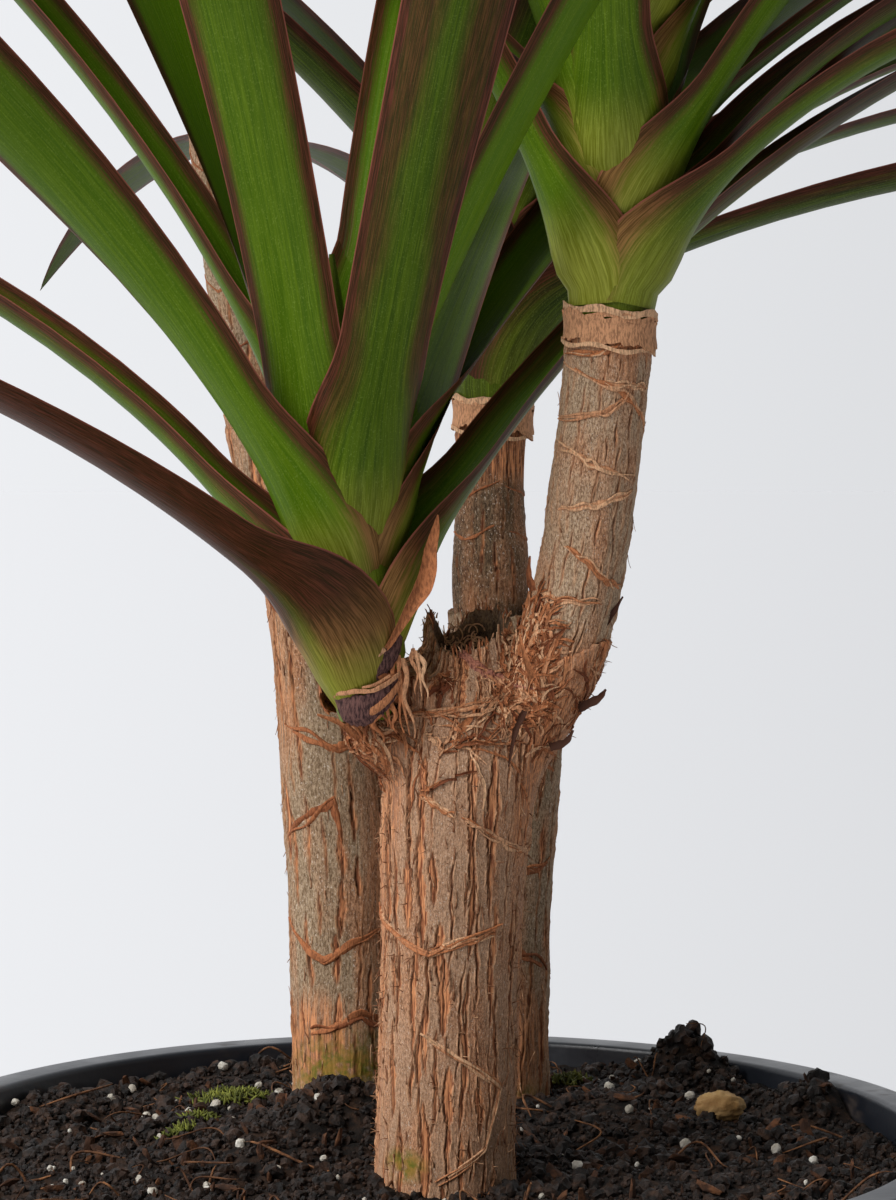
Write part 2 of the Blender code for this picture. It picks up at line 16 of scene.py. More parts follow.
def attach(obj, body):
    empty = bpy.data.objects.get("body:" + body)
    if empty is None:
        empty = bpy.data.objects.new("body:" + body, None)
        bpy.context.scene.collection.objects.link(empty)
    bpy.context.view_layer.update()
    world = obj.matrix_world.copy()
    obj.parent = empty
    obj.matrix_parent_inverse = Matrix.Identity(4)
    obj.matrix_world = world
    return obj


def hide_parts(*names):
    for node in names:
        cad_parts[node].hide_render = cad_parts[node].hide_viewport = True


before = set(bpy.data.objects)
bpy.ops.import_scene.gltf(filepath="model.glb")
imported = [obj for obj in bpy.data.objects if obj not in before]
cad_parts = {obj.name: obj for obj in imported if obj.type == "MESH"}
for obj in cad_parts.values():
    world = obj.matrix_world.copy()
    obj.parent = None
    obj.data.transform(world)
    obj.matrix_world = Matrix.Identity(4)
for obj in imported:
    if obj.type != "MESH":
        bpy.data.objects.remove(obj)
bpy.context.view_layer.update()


# Pot
# A round nursery pot moulded in black polypropylene, tapered, with a folded lip. One turned
# profile makes it, and four drain holes are cut through its flat underside.
POT_HEIGHT = 0.175
POT_LIP_RADIUS = 0.105
POT_BASE_RADIUS = 0.080
POT_WALL = 0.0022
POT_LIP_DEPTH = 0.013
POT_LIP_REACH = 0.0058
POT_LIP_FOLD = 0.003
POT_LIP_GAP = 0.0006
POT_SIDES = 192
CORNER_ROUND = 0.0012
GROOVE_HEIGHTS = (0.030, 0.148)
GROOVE_DEPTH = 0.0005
GROOVE_HALF_WIDTH = 0.0012
DRAIN_HOLE_RADIUS = 0.005
DRAIN_HOLE_CIRCLE = 0.052
DRAIN_HOLES = 4


def shade(red, green, blue):
    """Scene-linear colour from display values of 0 to 255."""
    linear = []
    for value in (red, green, blue):
        value /= 255.0
        linear.append(value / 12.92 if value <= 0.04045 else ((value + 0.055) / 1.055) ** 2.4)
    return (*linear, 1.0)


def mesh_piece(name, points, faces):
    mesh = bpy.data.meshes.new(name)
    mesh.from_pydata(np.asarray(points, float).tolist(), [], [tuple(map(int, face)) for face in faces])
    mesh.update()
    mesh.shade_smooth()
    piece = bpy.data.objects.new(name, mesh)
    bpy.context.scene.collection.objects.link(piece)
    return piece


def evaluated_copy(piece):
    """Plain mesh piece of what the modifiers make, and the source piece is removed."""
    bpy.context.view_layer.update()
    mesh = bpy.data.meshes.new_from_object(piece.evaluated_get(bpy.context.evaluated_depsgraph_get()))
    name = piece.name
    bpy.data.objects.remove(piece, do_unlink=True)
    mesh.name = name
    plain = bpy.data.objects.new(name, mesh)
    bpy.context.scene.collection.objects.link(plain)
    return plain


def seat(piece, slot, *nodes):
    """Ties a finished piece to the part: its body and what it stands for. The slot is not used."""
    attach(piece, "root")
    if nodes:
        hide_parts(*nodes)


def new_finish(name, roughness, specular=0.5):
    """A material, its node tree and its shader."""
    finish = bpy.data.materials.new(name)
    finish.use_nodes = True
    shader = finish.node_tree.nodes["Principled BSDF"]
    shader.inputs["Roughness"].default_value = roughness
    shader.inputs["Specular IOR Level"].default_value = specular
    return finish, finish.node_tree, shader


def add_node(tree, kind, links=(), **settings):
    """A node with its settings, and its inputs linked to sockets or set to values."""
    node = tree.nodes.new(kind)
    for key, value in settings.items():
        setattr(node, key, value)
    for key, value in dict(links).items():
        if isinstance(value, bpy.types.NodeSocket):
            tree.links.new(value, node.inputs[key])
        else:
            node.inputs[key].default_value = value
    return node


def mix_colour(tree, factor, first, second):
    return add_node(tree, "ShaderNodeMix", {0: factor, 6: first, 7: second}, data_type="RGBA").outputs[2]


def ramp(tree, value, low, high, start=0.0, end=1.0):
    return add_node(tree, "ShaderNodeMapRange", {0: value, 1: low, 2: high, 3: start, 4: end},
                    interpolation_type="SMOOTHSTEP").outputs[0]


def arithmetic(tree, operation, *values):
    return add_node(tree, "ShaderNodeMath", dict(enumerate(values)), operation=operation).outputs[0]


def product(tree, *values):
    return arithmetic(tree, "MULTIPLY", *values)


def speckle_group():
    """Node group: noise on Object coordinates, stretched by its three scales."""
    group = bpy.data.node_groups.new("speckle", "ShaderNodeTree")
    for label, default in (("Scale X", 100.0), ("Scale Y", 100.0), ("Scale Z", 100.0), ("Roughness", 0.55)):
        socket = group.interface.new_socket(label, in_out="INPUT", socket_type="NodeSocketFloat")
        socket.default_value = default
    group.interface.new_socket("Value", in_out="OUTPUT", socket_type="NodeSocketFloat")
    given = group.nodes.new("NodeGroupInput")
    place = group.nodes.new("ShaderNodeTexCoord")
    size = add_node(group, "ShaderNodeCombineXYZ", {k: given.outputs[k] for k in range(3)})
    spot = add_node(group, "ShaderNodeVectorMath", {0: place.outputs["Object"], 1: size.outputs[0]},
                    operation="MULTIPLY")
    source = add_node(group, "ShaderNodeTexNoise", {"Vector": spot.outputs[0], "Scale": 1.0, "Detail": 4.0,
                                                    "Roughness": given.outputs[3]})
    result = group.nodes.new("NodeGroupOutput")
    group.links.new(source.outputs["Fac"], result.inputs[0])
    return group


SPECKLE = speckle_group()


def pattern(tree, across, up=None, roughness=0.55):
    """Noise with so many cells a metre across and up a piece."""
    return add_node(tree, "ShaderNodeGroup", {0: across, 1: across, 2: up or across, 3: roughness},
                    node_tree=SPECKLE).outputs[0]


def paint(tree, shader, tone):
    tree.links.new(tone, shader.inputs["Base Color"])


def bump(tree, shader, height, distance, before=None):
    links = {"Height": height, "Distance": distance}
    if before is not None:
        links["Normal"] = before
    normal = add_node(tree, "ShaderNodeBump", links).outputs[0]
    tree.links.new(normal, shader.inputs["Normal"])
    return normal


def full_turn(count):
    return np.arange(count) * 2 * math.pi / count


def polar(radius, turn, height, middle=(0.0, 0.0)):
    """Points at a radius, a turn and a height round an upright axis."""
    across, deep = middle[0] + radius * np.cos(turn), middle[1] + radius * np.sin(turn)
    return np.stack(np.broadcast_arrays(across, deep, height), axis=-1)


def tube_faces(rows, sides, corners=(0, 1, 2, 3)):
    """Quads between rings of points and a cap on each end; another order of corners turns them in."""
    faces = []
    for low in range(0, (rows - 1) * sides, sides):
        for k in range(sides):
            n = (k + 1) % sides
            quad = (low + k, low + n, low + sides + n, low + sides + k)
            faces.append(tuple(quad[corner] for corner in corners))
    ends = [tuple(reversed(range(sides))), tuple(range((rows - 1) * sides, rows * sides))]
    return faces + (ends if corners[1] == 1 else [tuple(reversed(end)) for end in ends])


def fillet(profile, size, steps=4):
    """A profile with each inner corner rounded, by at most half of its shorter edge."""
    profile = [np.array(point, float) for point in profile]
    rounded = [profile[0]]
    for before, corner, after in zip(profile, profile[1:], profile[2:]):
        back, ahead = before - corner, after - corner
        cut = min(size, 0.45 * np.linalg.norm(back), 0.45 * np.linalg.norm(ahead))
        start = corner + back / np.linalg.norm(back) * cut
        end = corner + ahead / np.linalg.norm(ahead) * cut
        for t in np.linspace(0, 1, steps + 1):
            rounded.append((1 - t) ** 2 * start + 2 * t * (1 - t) * corner + t ** 2 * end)
    return rounded + [profile[-1]]


def wall_radius(height):
    top = POT_LIP_RADIUS - POT_LIP_REACH
    return POT_BASE_RADIUS + (top - POT_BASE_RADIUS) * height / POT_HEIGHT


lip_foot = POT_HEIGHT - POT_LIP_DEPTH
pot_inner = POT_LIP_RADIUS - POT_LIP_REACH - POT_WALL
outer_wall = [(0.0, 0.0), (POT_BASE_RADIUS, 0.0)]
for groove in GROOVE_HEIGHTS:
    for rise, depth in ((-GROOVE_HALF_WIDTH, 0.0), (0.0, GROOVE_DEPTH), (GROOVE_HALF_WIDTH, 0.0)):
        outer_wall.append((wall_radius(groove + rise) - depth, groove + rise))
fold = POT_HEIGHT - POT_LIP_FOLD
pot_profile = fillet(outer_wall + [
    (wall_radius(lip_foot), lip_foot), (wall_radius(fold), fold),
    (POT_LIP_RADIUS - POT_WALL, fold - POT_LIP_GAP), (POT_LIP_RADIUS - POT_WALL, lip_foot),
    (POT_LIP_RADIUS, lip_foot), (POT_LIP_RADIUS, POT_HEIGHT), (pot_inner, POT_HEIGHT),
    (POT_BASE_RADIUS - POT_WALL, POT_WALL), (0.0, POT_WALL)], CORNER_ROUND)
pot_rings = np.array(pot_profile[1:-1])
pot_points = polar(pot_rings[:, :1], full_turn(POT_SIDES), pot_rings[:, 1:]).reshape(-1, 3)
pot = mesh_piece("pot_shell", pot_points, tube_faces(len(pot_rings), POT_SIDES))
for k in range(DRAIN_HOLES):
    turn = 2 * math.pi * (k + 0.5) / DRAIN_HOLES
    bpy.ops.mesh.primitive_cylinder_add(vertices=24, radius=DRAIN_HOLE_RADIUS, depth=0.02, location=(
        DRAIN_HOLE_CIRCLE * math.cos(turn), DRAIN_HOLE_CIRCLE * math.sin(turn), 0.0))
    drill = bpy.context.object
    cut = pot.modifiers.new("drain", "BOOLEAN")
    cut.object = drill
    cut.operation = "DIFFERENCE"
    pot = evaluated_copy(pot)
    bpy.data.objects.remove(drill, do_unlink=True)
pot.data.set_sharp_from_angle(angle=math.radians(40))

plastic, tree, shader = new_finish("pot_black_plastic", 0.34)
mottle = pattern(tree, 60.0)
dust = ramp(tree, pattern(tree, 35.0, 90.0, 0.7), 0.56, 0.74)
plain = mix_colour(tree, mottle, shade(22, 25, 31), shade(34, 38, 46))
paint(tree, shader, mix_colour(tree, product(tree, dust, 0.55), plain, shade(88, 72, 60)))
tree.links.new(arithmetic(tree, "ADD", ramp(tree, mottle, 0.3, 0.7, 0.26, 0.40), product(tree, dust, 0.35)),
               shader.inputs["Roughness"])
bump(tree, shader, pattern(tree, 900.0), 0.00004)
pot.data.materials.clear()
pot.data.materials.append(plastic)
seat(pot, "pot_plastic", "pot")


# Peat
# Moist black peat that fills the pot, crumbly on top, with mounds against the canes. Its surface
# is a fine relief, and crumbs, bark chips, perlite, fibres and moss are strewn on it.
PEAT_LEVEL = 0.1680
PEAT_DOME = 0.0035
Mound = namedtuple("Mound", "x y height reach")
MOUNDS = (
    Mound(-0.016, 0.010, 0.0110, 0.013),
    Mound(-0.030, -0.012, 0.0045, 0.014),
    Mound(0.056, 0.070, 0.0110, 0.010),
    Mound(0.082, 0.044, 0.0070, 0.009),
    Mound(0.042, 0.034, 0.0030, 0.022),
    Mound(-0.078, 0.042, 0.0040, 0.012),
    Mound(-0.050, 0.020, 0.0030, 0.012),
)
PEAT_RINGS = 110
PEAT_SIDES = 360
PEAT_EDGE_GAP = 0.0005
GAP = 0.0003
# Height, cells a metre and seed of each layer of lumps
PEAT_LUMPS = ((0.0012, 70, 1), (0.0009, 190, 2), (0.0005, 420, 3), (0.0003, 900, 4))
# Place and reach of each patch of moss
MOSS_SPOTS = ((-0.0405, 0.050, 0.0044), (-0.0455, 0.026, 0.0022), (-0.0475, 0.006, 0.0018),
              (0.030, 0.058, 0.0030))


def mark(piece, label, values):
    """Writes one value for each point of a piece, which a finish or the strewing reads by its label."""
    piece.data.attributes.new(label, "FLOAT", "POINT").data.foreach_set("value", np.asarray(values).ravel())


def lattice_noise(across, along, wrap, seed):
    """Smooth random values from -1 to 1 that close after `wrap` cells across."""
    table = np.random.RandomState(seed).uniform(-1, 1, (256, wrap))
    i, j = np.floor(along).astype(int), np.floor(across).astype(int)
    f, g = along - i, across - j
    f, g = f * f * (3 - 2 * f), g * g * (3 - 2 * g)
    low = table[i % 256, j % wrap] * (1 - f) + table[(i + 1) % 256, j % wrap] * f
    high = table[i % 256, (j + 1) % wrap] * (1 - f) + table[(i + 1) % 256, (j + 1) % wrap] * f
    return low * (1 - g) + high * g


def step_between(value, low, high):
    t = np.clip((value - low) / (high - low), 0.0, 1.0)
    return t * t * (3 - 2 * t)


def peat_height(x, y):
    share = np.minimum(np.hypot(x, y) / POT_BASE_RADIUS, 1.2)
    height = PEAT_LEVEL + PEAT_DOME * np.maximum(1 - share ** 2, 0.0)
    for mound in MOUNDS:
        height = height + mound.height * np.exp(-((x - mound.x) ** 2 + (y - mound.y) ** 2) / mound.reach ** 2)
    return height


def peat_radius(height):
    low = POT_BASE_RADIUS - POT_WALL
    return low + (pot_inner - low) * (height - POT_WALL) / (POT_HEIGHT - POT_WALL) - PEAT_EDGE_GAP


peat_turns = full_turn(PEAT_SIDES)
spread = np.linspace(0.004, 1.0, PEAT_RINGS)[:, None]
peat_rows = polar(spread * peat_radius(PEAT_LEVEL), peat_turns, 0.0)
x, y = peat_rows[..., 0], peat_rows[..., 1]
lumps = sum(amount * lattice_noise(x * cells, y * cells, 256, seed) for amount, cells, seed in PEAT_LUMPS)
# The bed rises a little towards the back
peat_rows[..., 2] = peat_height(x, y) + lumps + 0.0020 * step_between(y, 0.030, 0.075)
foot_row = polar(peat_radius(POT_WALL), peat_turns, POT_WALL + GAP)
peat_points = np.vstack((peat_rows.reshape(-1, 3), foot_row))
peat_faces = tube_faces(PEAT_RINGS + 1, PEAT_SIDES, (0, 3, 2, 1))
peat = mesh_piece("peat_bed", peat_points, peat_faces)
inner_share = np.zeros(len(peat_points))
inner_share[:PEAT_RINGS * PEAT_SIDES] = (spread < 0.985).repeat(PEAT_SIDES, axis=1).ravel()
mark(peat, "room", inner_share)


def crumb_finish(name, dark, light, rough, grain=900.0):
    """Rough lumps whose tone differs from lump to lump."""
    finish, tree, shader = new_finish(name, rough, 0.25)
    lump = tree.nodes.new("ShaderNodeNewGeometry").outputs["Random Per Island"]
    tone = mix_colour(tree, ramp(tree, pattern(tree, grain * 0.5), 0.35, 0.7), dark, light)
    paint(tree, shader, mix_colour(tree, product(tree, lump, 0.75), tone, dark))
    bump(tree, shader, pattern(tree, grain, roughness=0.7), 0.0004)
    return finish


peat_finish, tree, shader = new_finish("peat_moist", 0.9, 0.25)
clod = pattern(tree, 260.0)
paint(tree, shader, mix_colour(tree, ramp(tree, clod, 0.4, 0.68), shade(20, 15, 12), shade(58, 40, 28)))
bump(tree, shader, pattern(tree, 1100.0, roughness=0.75), 0.0007)
peat.data.materials.append(peat_finish)
seat(peat, "peat", "peat")


def strewn_tree():
    """Geometry Nodes: shapes of a collection strewn on a surface where its `room` is above 0."""
    tree = bpy.data.node_groups.new("strewn", "GeometryNodeTree")
    sockets = (("Surface", "Geometry", None), ("Density", "Float", 1.0e5), ("Smallest", "Float", 0.001),
               ("Largest", "Float", 0.003), ("Lift", "Float", 0.0), ("Tilt", "Float", math.pi),
               ("Spin", "Float", math.pi), ("Seed", "Int", 1), ("Shapes", "Collection", None),
               ("Finish", "Material", None))
    for label, kind, value in sockets:
        socket = tree.interface.new_socket(label, in_out="INPUT", socket_type="NodeSocket" + kind)
        if value is not None:
            socket.default_value = value
    tree.interface.new_socket("Strewn", in_out="OUTPUT", socket_type="NodeSocketGeometry")
    given = tree.nodes.new("NodeGroupInput").outputs
    room = add_node(tree, "GeometryNodeInputNamedAttribute", {"Name": "room"}, data_type="FLOAT")
    density = product(tree, room.outputs[0], given["Density"])
    points = add_node(tree, "GeometryNodeDistributePointsOnFaces",
                      {"Mesh": given["Surface"], "Density": density, "Seed": given["Seed"]})
    rise = add_node(tree, "ShaderNodeVectorMath", {0: points.outputs["Normal"], "Scale": given["Lift"]},
                    operation="SCALE")
    lifted = add_node(tree, "GeometryNodeSetPosition",
                      {"Geometry": points.outputs["Points"], "Offset": rise.outputs[0]})
    low, back = product(tree, given["Tilt"], -1.0), product(tree, given["Spin"], -1.0)
    least = add_node(tree, "ShaderNodeCombineXYZ", {0: low, 1: low, 2: back})
    most = add_node(tree, "ShaderNodeCombineXYZ", {0: given["Tilt"], 1: given["Tilt"], 2: given["Spin"]})
    turn = add_node(tree, "FunctionNodeRandomValue", {0: least.outputs[0], 1: most.outputs[0], "Seed": 11},
                    data_type="FLOAT_VECTOR")
    lean = add_node(tree, "FunctionNodeEulerToRotation", {0: turn.outputs[0]})
    # A shape's Z axis follows the surface's normal and its Y axis points up
    facing = add_node(tree, "FunctionNodeAlignRotationToVector", {"Vector": points.outputs["Normal"]},
                      axis="Z")
    upright = add_node(tree, "FunctionNodeAlignRotationToVector",
                       {"Rotation": facing.outputs[0], "Vector": (0.0, 0.0, 1.0)}, axis="Y", pivot_axis="Z")
    stance = add_node(tree, "FunctionNodeRotateRotation",
                      {0: upright.outputs[0], 1: lean.outputs[0]}, rotation_space="LOCAL")
    size = add_node(tree, "FunctionNodeRandomValue", {2: given["Smallest"], 3: given["Largest"], "Seed": 12},
                    data_type="FLOAT")
    shapes = add_node(tree, "GeometryNodeCollectionInfo",
                      {"Collection": given["Shapes"], "Separate Children": True, "Reset Children": True})
    placed = add_node(tree, "GeometryNodeInstanceOnPoints",
                      {"Points": lifted.outputs[0], "Instance": shapes.outputs[0], "Pick Instance": True,
                       "Rotation": stance.outputs[0], "Scale": size.outputs[1]})
    real = add_node(tree, "GeometryNodeRealizeInstances", {0: placed.outputs[0]})
    faced = add_node(tree, "GeometryNodeSetMaterial",
                     {"Geometry": real.outputs[0], "Material": given["Finish"]})
    result = tree.nodes.new("NodeGroupOutput")
    tree.links.new(faced.outputs[0], result.inputs[0])
    return tree


STREWN = strewn_tree()


def strew(name, surface, shapes, finish, slot, **sizes):
    """Piece of shapes strewn on a surface; sizes are the named inputs of the node tree."""
    group = bpy.data.collections.new(name + "_shapes")
    for shape in shapes:
        group.objects.link(shape)
    holder = bpy.data.objects.new(name, surface.data.copy())
    bpy.context.scene.collection.objects.link(holder)
    maker = holder.modifiers.new("strewn", "NODES")
    maker.node_group = STREWN
    values = dict(sizes, Shapes=group, Finish=finish)
    for item in STREWN.interface.items_tree:
        if item.in_out == "INPUT" and item.name in values:
            maker[item.identifier] = values[item.name]
    seat(evaluated_copy(holder), slot)
    bpy.data.collections.remove(group)


def lump_shape(name, seed, squash=(1.0, 1.0, 1.0), roughness=0.35, divisions=2):
    """A closed lump about 1 across, its corners pushed in and out."""
    random = np.random.RandomState(seed)
    bm = bmesh.new()
    bmesh.ops.create_icosphere(bm, subdivisions=divisions, radius=0.5)
    for vert in bm.verts:
        vert.co *= 1.0 + roughness * random.uniform(-1.0, 0.7)
        vert.co = Vector([a * b for a, b in zip(vert.co, squash)])
    mesh = bpy.data.meshes.new(name)
    bm.to_mesh(mesh)
    bm.free()
    return bpy.data.objects.new(name, mesh)


peat_crumb_finish = crumb_finish("peat_crumbs", shade(16, 12, 10), shade(66, 45, 32), 0.62)
bed_area = math.pi * peat_radius(PEAT_LEVEL) ** 2
for seed, label, count, smallest, largest, divisions in (
        (30, "dust", 9200, 0.0006, 0.0015, 1), (31, "fine", 2250, 0.0011, 0.0026, 2),
        (32, "coarse", 1000, 0.0020, 0.0046, 2)):
    crumbs = [lump_shape("crumb_%d" % k, 20 + k, (1.0, 0.8 + 0.1 * (k % 3), 0.7 + 0.1 * (k % 4)), 0.34,
                         divisions) for k in range(8)]
    strew("peat_crumbs_" + label, peat, crumbs, peat_crumb_finish, "peat", Seed=seed,
          Density=count / bed_area, Smallest=smallest, Largest=largest, Lift=GAP)
chips = [lump_shape("chip_%d" % k, 50 + k, (1.6, 0.7, 0.28), 0.3, 1) for k in range(5)]
chip_finish = crumb_finish("peat_bark_chips", shade(48, 30, 20), shade(116, 74, 46), 0.8)
strew("bark_chips", peat, chips, chip_finish, "peat", Seed=41, Density=240 / bed_area, Smallest=0.0012,
      Largest=0.0044, Lift=0.0009)
grains = [lump_shape("grain_%d" % k, 60 + k, (1.0, 0.85, 0.8), 0.16) for k in range(4)]
perlite_finish = crumb_finish("perlite_white", shade(168, 160, 146), shade(232, 228, 218), 0.75)
strew("perlite", peat, grains, perlite_finish, "peat", Seed=47, Density=130 / bed_area, Smallest=0.0006,
      Largest=0.0026, Lift=0.0010)


def bent_rod(name, points, radii, sides=5):
    """Closed thin rod along a few points."""
    course = np.array(points, float)
    tangents = np.gradient(course, axis=0)
    turns = full_turn(sides)
    rings = []
    for spot, tangent, radius in zip(course, tangents, radii):
        axis = tangent / np.linalg.norm(tangent)
        side = np.cross(axis, (0.31, 0.22, 0.92))
        side = side / np.linalg.norm(side)
        forward = np.cross(axis, side)
        rings.append(spot + radius * (np.outer(np.cos(turns), side) + np.outer(np.sin(turns), forward)))
    rod = mesh_piece(name, np.vstack(rings), tube_faces(len(course), sides))
    bpy.context.scene.collection.objects.unlink(rod)
    return rod


ROOT_THICKNESS = 0.014 * np.interp(np.arange(13), (0, 2, 9, 12), (0.5, 1.0, 1.0, 0.3))
roots = [bent_rod("root_%d" % k, [(0.5 * math.cos(0.4 * k) * t, 0.20 * math.sin(k + (2.0 + 0.3 * k) * t),
                                   0.10 * math.sin(2.4 * t + k)) for t in np.linspace(-1, 1, 13)],
                  ROOT_THICKNESS) for k in range(6)]
root_finish = crumb_finish("peat_fibre", shade(70, 44, 28), shade(158, 108, 70), 0.8)
strew("peat_fibres", peat, roots, root_finish, "peat", Seed=52, Density=120 / bed_area, Smallest=0.006,
      Largest=0.020, Lift=0.0016, Tilt=0.35)
tufts = [bent_rod("moss_%d" % k, [(0.15 * math.sin(k + t), 0.15 * math.cos(2 * k + t), t - 0.3)
                                  for t in np.linspace(0, 1, 4)], 0.13 * np.array((0.8, 1.0, 0.8, 0.3)))
         for k in range(4)]
moss_bed = mesh_piece("moss_bed", peat_points, peat_faces)
moss_share = sum(np.exp(-((peat_points[:, 0] - mx) ** 2 + (peat_points[:, 1] - my) ** 2) / reach ** 2)
                 for mx, my, reach in MOSS_SPOTS)
mark(moss_bed, "room", np.clip(moss_share, 0, 1) * inner_share)
moss_finish = crumb_finish("moss_green", shade(66, 72, 22), shade(150, 154, 66), 0.7)
strew("moss_tufts", moss_bed, tufts, moss_finish, "peat", Seed=61, Density=9.0e6, Smallest=0.0010,
      Largest=0.0026, Lift=0.0012, Tilt=1.1)
bpy.data.objects.remove(moss_bed, do_unlink=True)
stone = lump_shape("tan_stone", 71, (1.0, 0.8, 0.62), 0.12, 4)
stone.data.transform(Matrix.Translation((0.0605, 0.0260, 0.1738)) @ Matrix.Scale(0.0102, 4))
stone.data.materials.append(crumb_finish("stone_tan", shade(150, 112, 66), shade(206, 170, 116), 0.7, 500.0))
stone.data.shade_smooth()
bpy.context.scene.collection.objects.link(stone)
seat(stone, "peat")


# Canes
# Three bare stems about 25 mm thick that stand in the peat, grey-beige with orange-brown cracks.
# The bark is one relief on each stem: lens-shaped cracks with raised lips, and a swollen fork where
# the stem was sawn off, rotted hollow, and shoots grew beside the cut.
UPRIGHT = (0.0, 0.0, 1.0)
CANE_FOOT = 0.158
STEM_STEPS = 160
FRONT_CANE_PATH = ((0.0044, -0.030, 0.140), (0.0046, -0.030, 0.178), (0.0057, -0.030, 0.216),
                   (0.0070, -0.030, 0.246), (0.0090, -0.028, 0.263), (0.0090, -0.027, 0.2775))
FRONT_CANE_RADII = (0.0136, 0.0131, 0.0128, 0.0142, 0.0106, 0.0078)
REAR_LEFT_CANE_PATH = ((-0.0156, 0.033, 0.140), (-0.0160, 0.033, 0.184), (-0.0180, 0.033, 0.236),
                       (-0.0216, 0.033, 0.273), (-0.0272, 0.033, 0.3120))
REAR_LEFT_CANE_RADII = (0.0128, 0.0111, 0.0108, 0.0103, 0.0098)
REAR_RIGHT_CANE_PATH = ((0.0148, 0.045, 0.140), (0.0154, 0.045, 0.190), (0.0166, 0.045, 0.222),
                        (0.0180, 0.045, 0.250), (0.0178, 0.045, 0.2750))
REAR_RIGHT_CANE_RADII = (0.0122, 0.0108, 0.0106, 0.0109, 0.0112)
Collar = namedtuple("Collar", "start seat lean inner_radius seat_radius")
FRONT_RIGHT_COLLAR = Collar((0.0060, -0.030, 0.2400), (0.0277, -0.030, 0.2770), (0.27, 0.0, 1.0),
                            0.0075, 0.0082)
FRONT_LEFT_COLLAR = Collar((0.0030, -0.032, 0.2525), (-0.0102, -0.0382, 0.2580), (-0.07, -0.02, 1.0),
                           0.0066, 0.0056)
FRONT_SHOULDER = Collar((0.0060, -0.030, 0.2480), (0.0024, -0.0325, 0.2690), UPRIGHT, 0.0085, 0.0068)
# The left collar as the bark shows it, drawn in under the leaves that cover its seat
FRONT_LEFT_SKIN = FRONT_LEFT_COLLAR._replace(seat=(-0.0094, -0.0376, 0.2580), inner_radius=0.0058,
                                             seat_radius=0.0042)
REAR_LEFT_COLLAR = Collar((-0.0245, 0.033, 0.2920), (-0.0335, 0.033, 0.3180), (-0.15, 0.0, 1.0),
                          0.0092, 0.0078)
REAR_RIGHT_COLLAR = Collar((0.0172, 0.045, 0.2580), (0.0139, 0.045, 0.2810), UPRIGHT, 0.0095, 0.0082)
COLLAR_STEPS = 5
FORK_BLEND = 0.0036
# The fork's surface is looked for between these distances from the cane's axis
FORK_REACH = (0.004, 0.036)
# Height of each cut's rim, by turn round the cane
FRONT_RIM = ((0, 0.2752), (45, 0.2784), (80, 0.2782), (108, 0.2742), (130, 0.2728), (156, 0.2776),
             (190, 0.2772), (222, 0.2712), (250, 0.2702), (285, 0.2712), (320, 0.2736))
REAR_LEFT_RIM = ((0, 0.3110), (90, 0.3140), (180, 0.3130), (270, 0.3100))
REAR_RIGHT_RIM = ((0, 0.2760), (90, 0.2765), (180, 0.2740), (270, 0.2735))
# How far a crack's lips, floor and dark seams rise or sink
LIP_RISE, CRACK_SINK, SEAM_SINK = 0.00034, 0.00016, 0.00036
# Widths of a crack's two seams and of its lips, and how far outside the crack the lips lie
SEAM_WIDTH, SIDE_SEAM_WIDTH, LIP_WIDTH, LIP_REACH = 0.00013, 0.00012, 0.00015, 0.00012
# Plates, lumps and grain of the bark
PLATE_RELIEF, LUMP_RELIEF, GRAIN_RELIEF = 0.00012, 0.00028, 0.00002
PLATE_WIDTH, PLATE_HEIGHT, LUMP_HEIGHT, GRAIN_HEIGHT = 0.0026, 0.012, 0.011, 0.0011
# How far in from the rim each ring of a rotten hollow lies, as a share of the way to its middle
PIT_SHARES = (0.05, 0.08, 0.12, 0.17, 0.23, 0.30, 0.40, 0.52, 0.66, 0.82, 0.97)


def unit(vector):
    vector = np.asarray(vector, float)
    return vector / np.linalg.norm(vector)


def spline(points, count):
    """Evenly stepped points on a Catmull-Rom curve through the given ones, ends included."""
    points = np.asarray(points, float)
    padded = np.vstack((2 * points[0] - points[1], points, 2 * points[-1] - points[-2]))
    result = []
    for value in np.linspace(0.0, len(points) - 1.0, count):
        span = min(int(value), len(points) - 2)
        t = value - span
        a, b, c, d = padded[span:span + 4]
        result.append(0.5 * (2 * b + (c - a) * t + (2 * a - 5 * b + 4 * c - d) * t ** 2
                             + (3 * b - a - 3 * c + d) * t ** 3))
    return np.array(result)


def path_with_radii(path, radii, count):
    radii = np.interp(np.linspace(0, 1, len(path)), np.linspace(0, 1, len(radii)), radii)
    line = spline([(*point, radius) for point, radius in zip(path, radii)], count)
    return line[:, :3], line[:, 3]


def collar_path(collar):
    """Curve of a collar that leaves its cane and ends along the lean of what grows on it."""
    start, end, lean = np.array(collar.start), np.array(collar.seat), unit(collar.lean)
    bend = end - lean * 0.5 * np.linalg.norm(end - start)
    ts = np.linspace(0.0, 1.0, COLLAR_STEPS)[:, None]
    return (1 - ts) ** 2 * start + 2 * ts * (1 - ts) * bend + ts ** 2 * end


def turn_between(turn, other):
    return (turn - other + math.pi) % (2 * math.pi) - math.pi


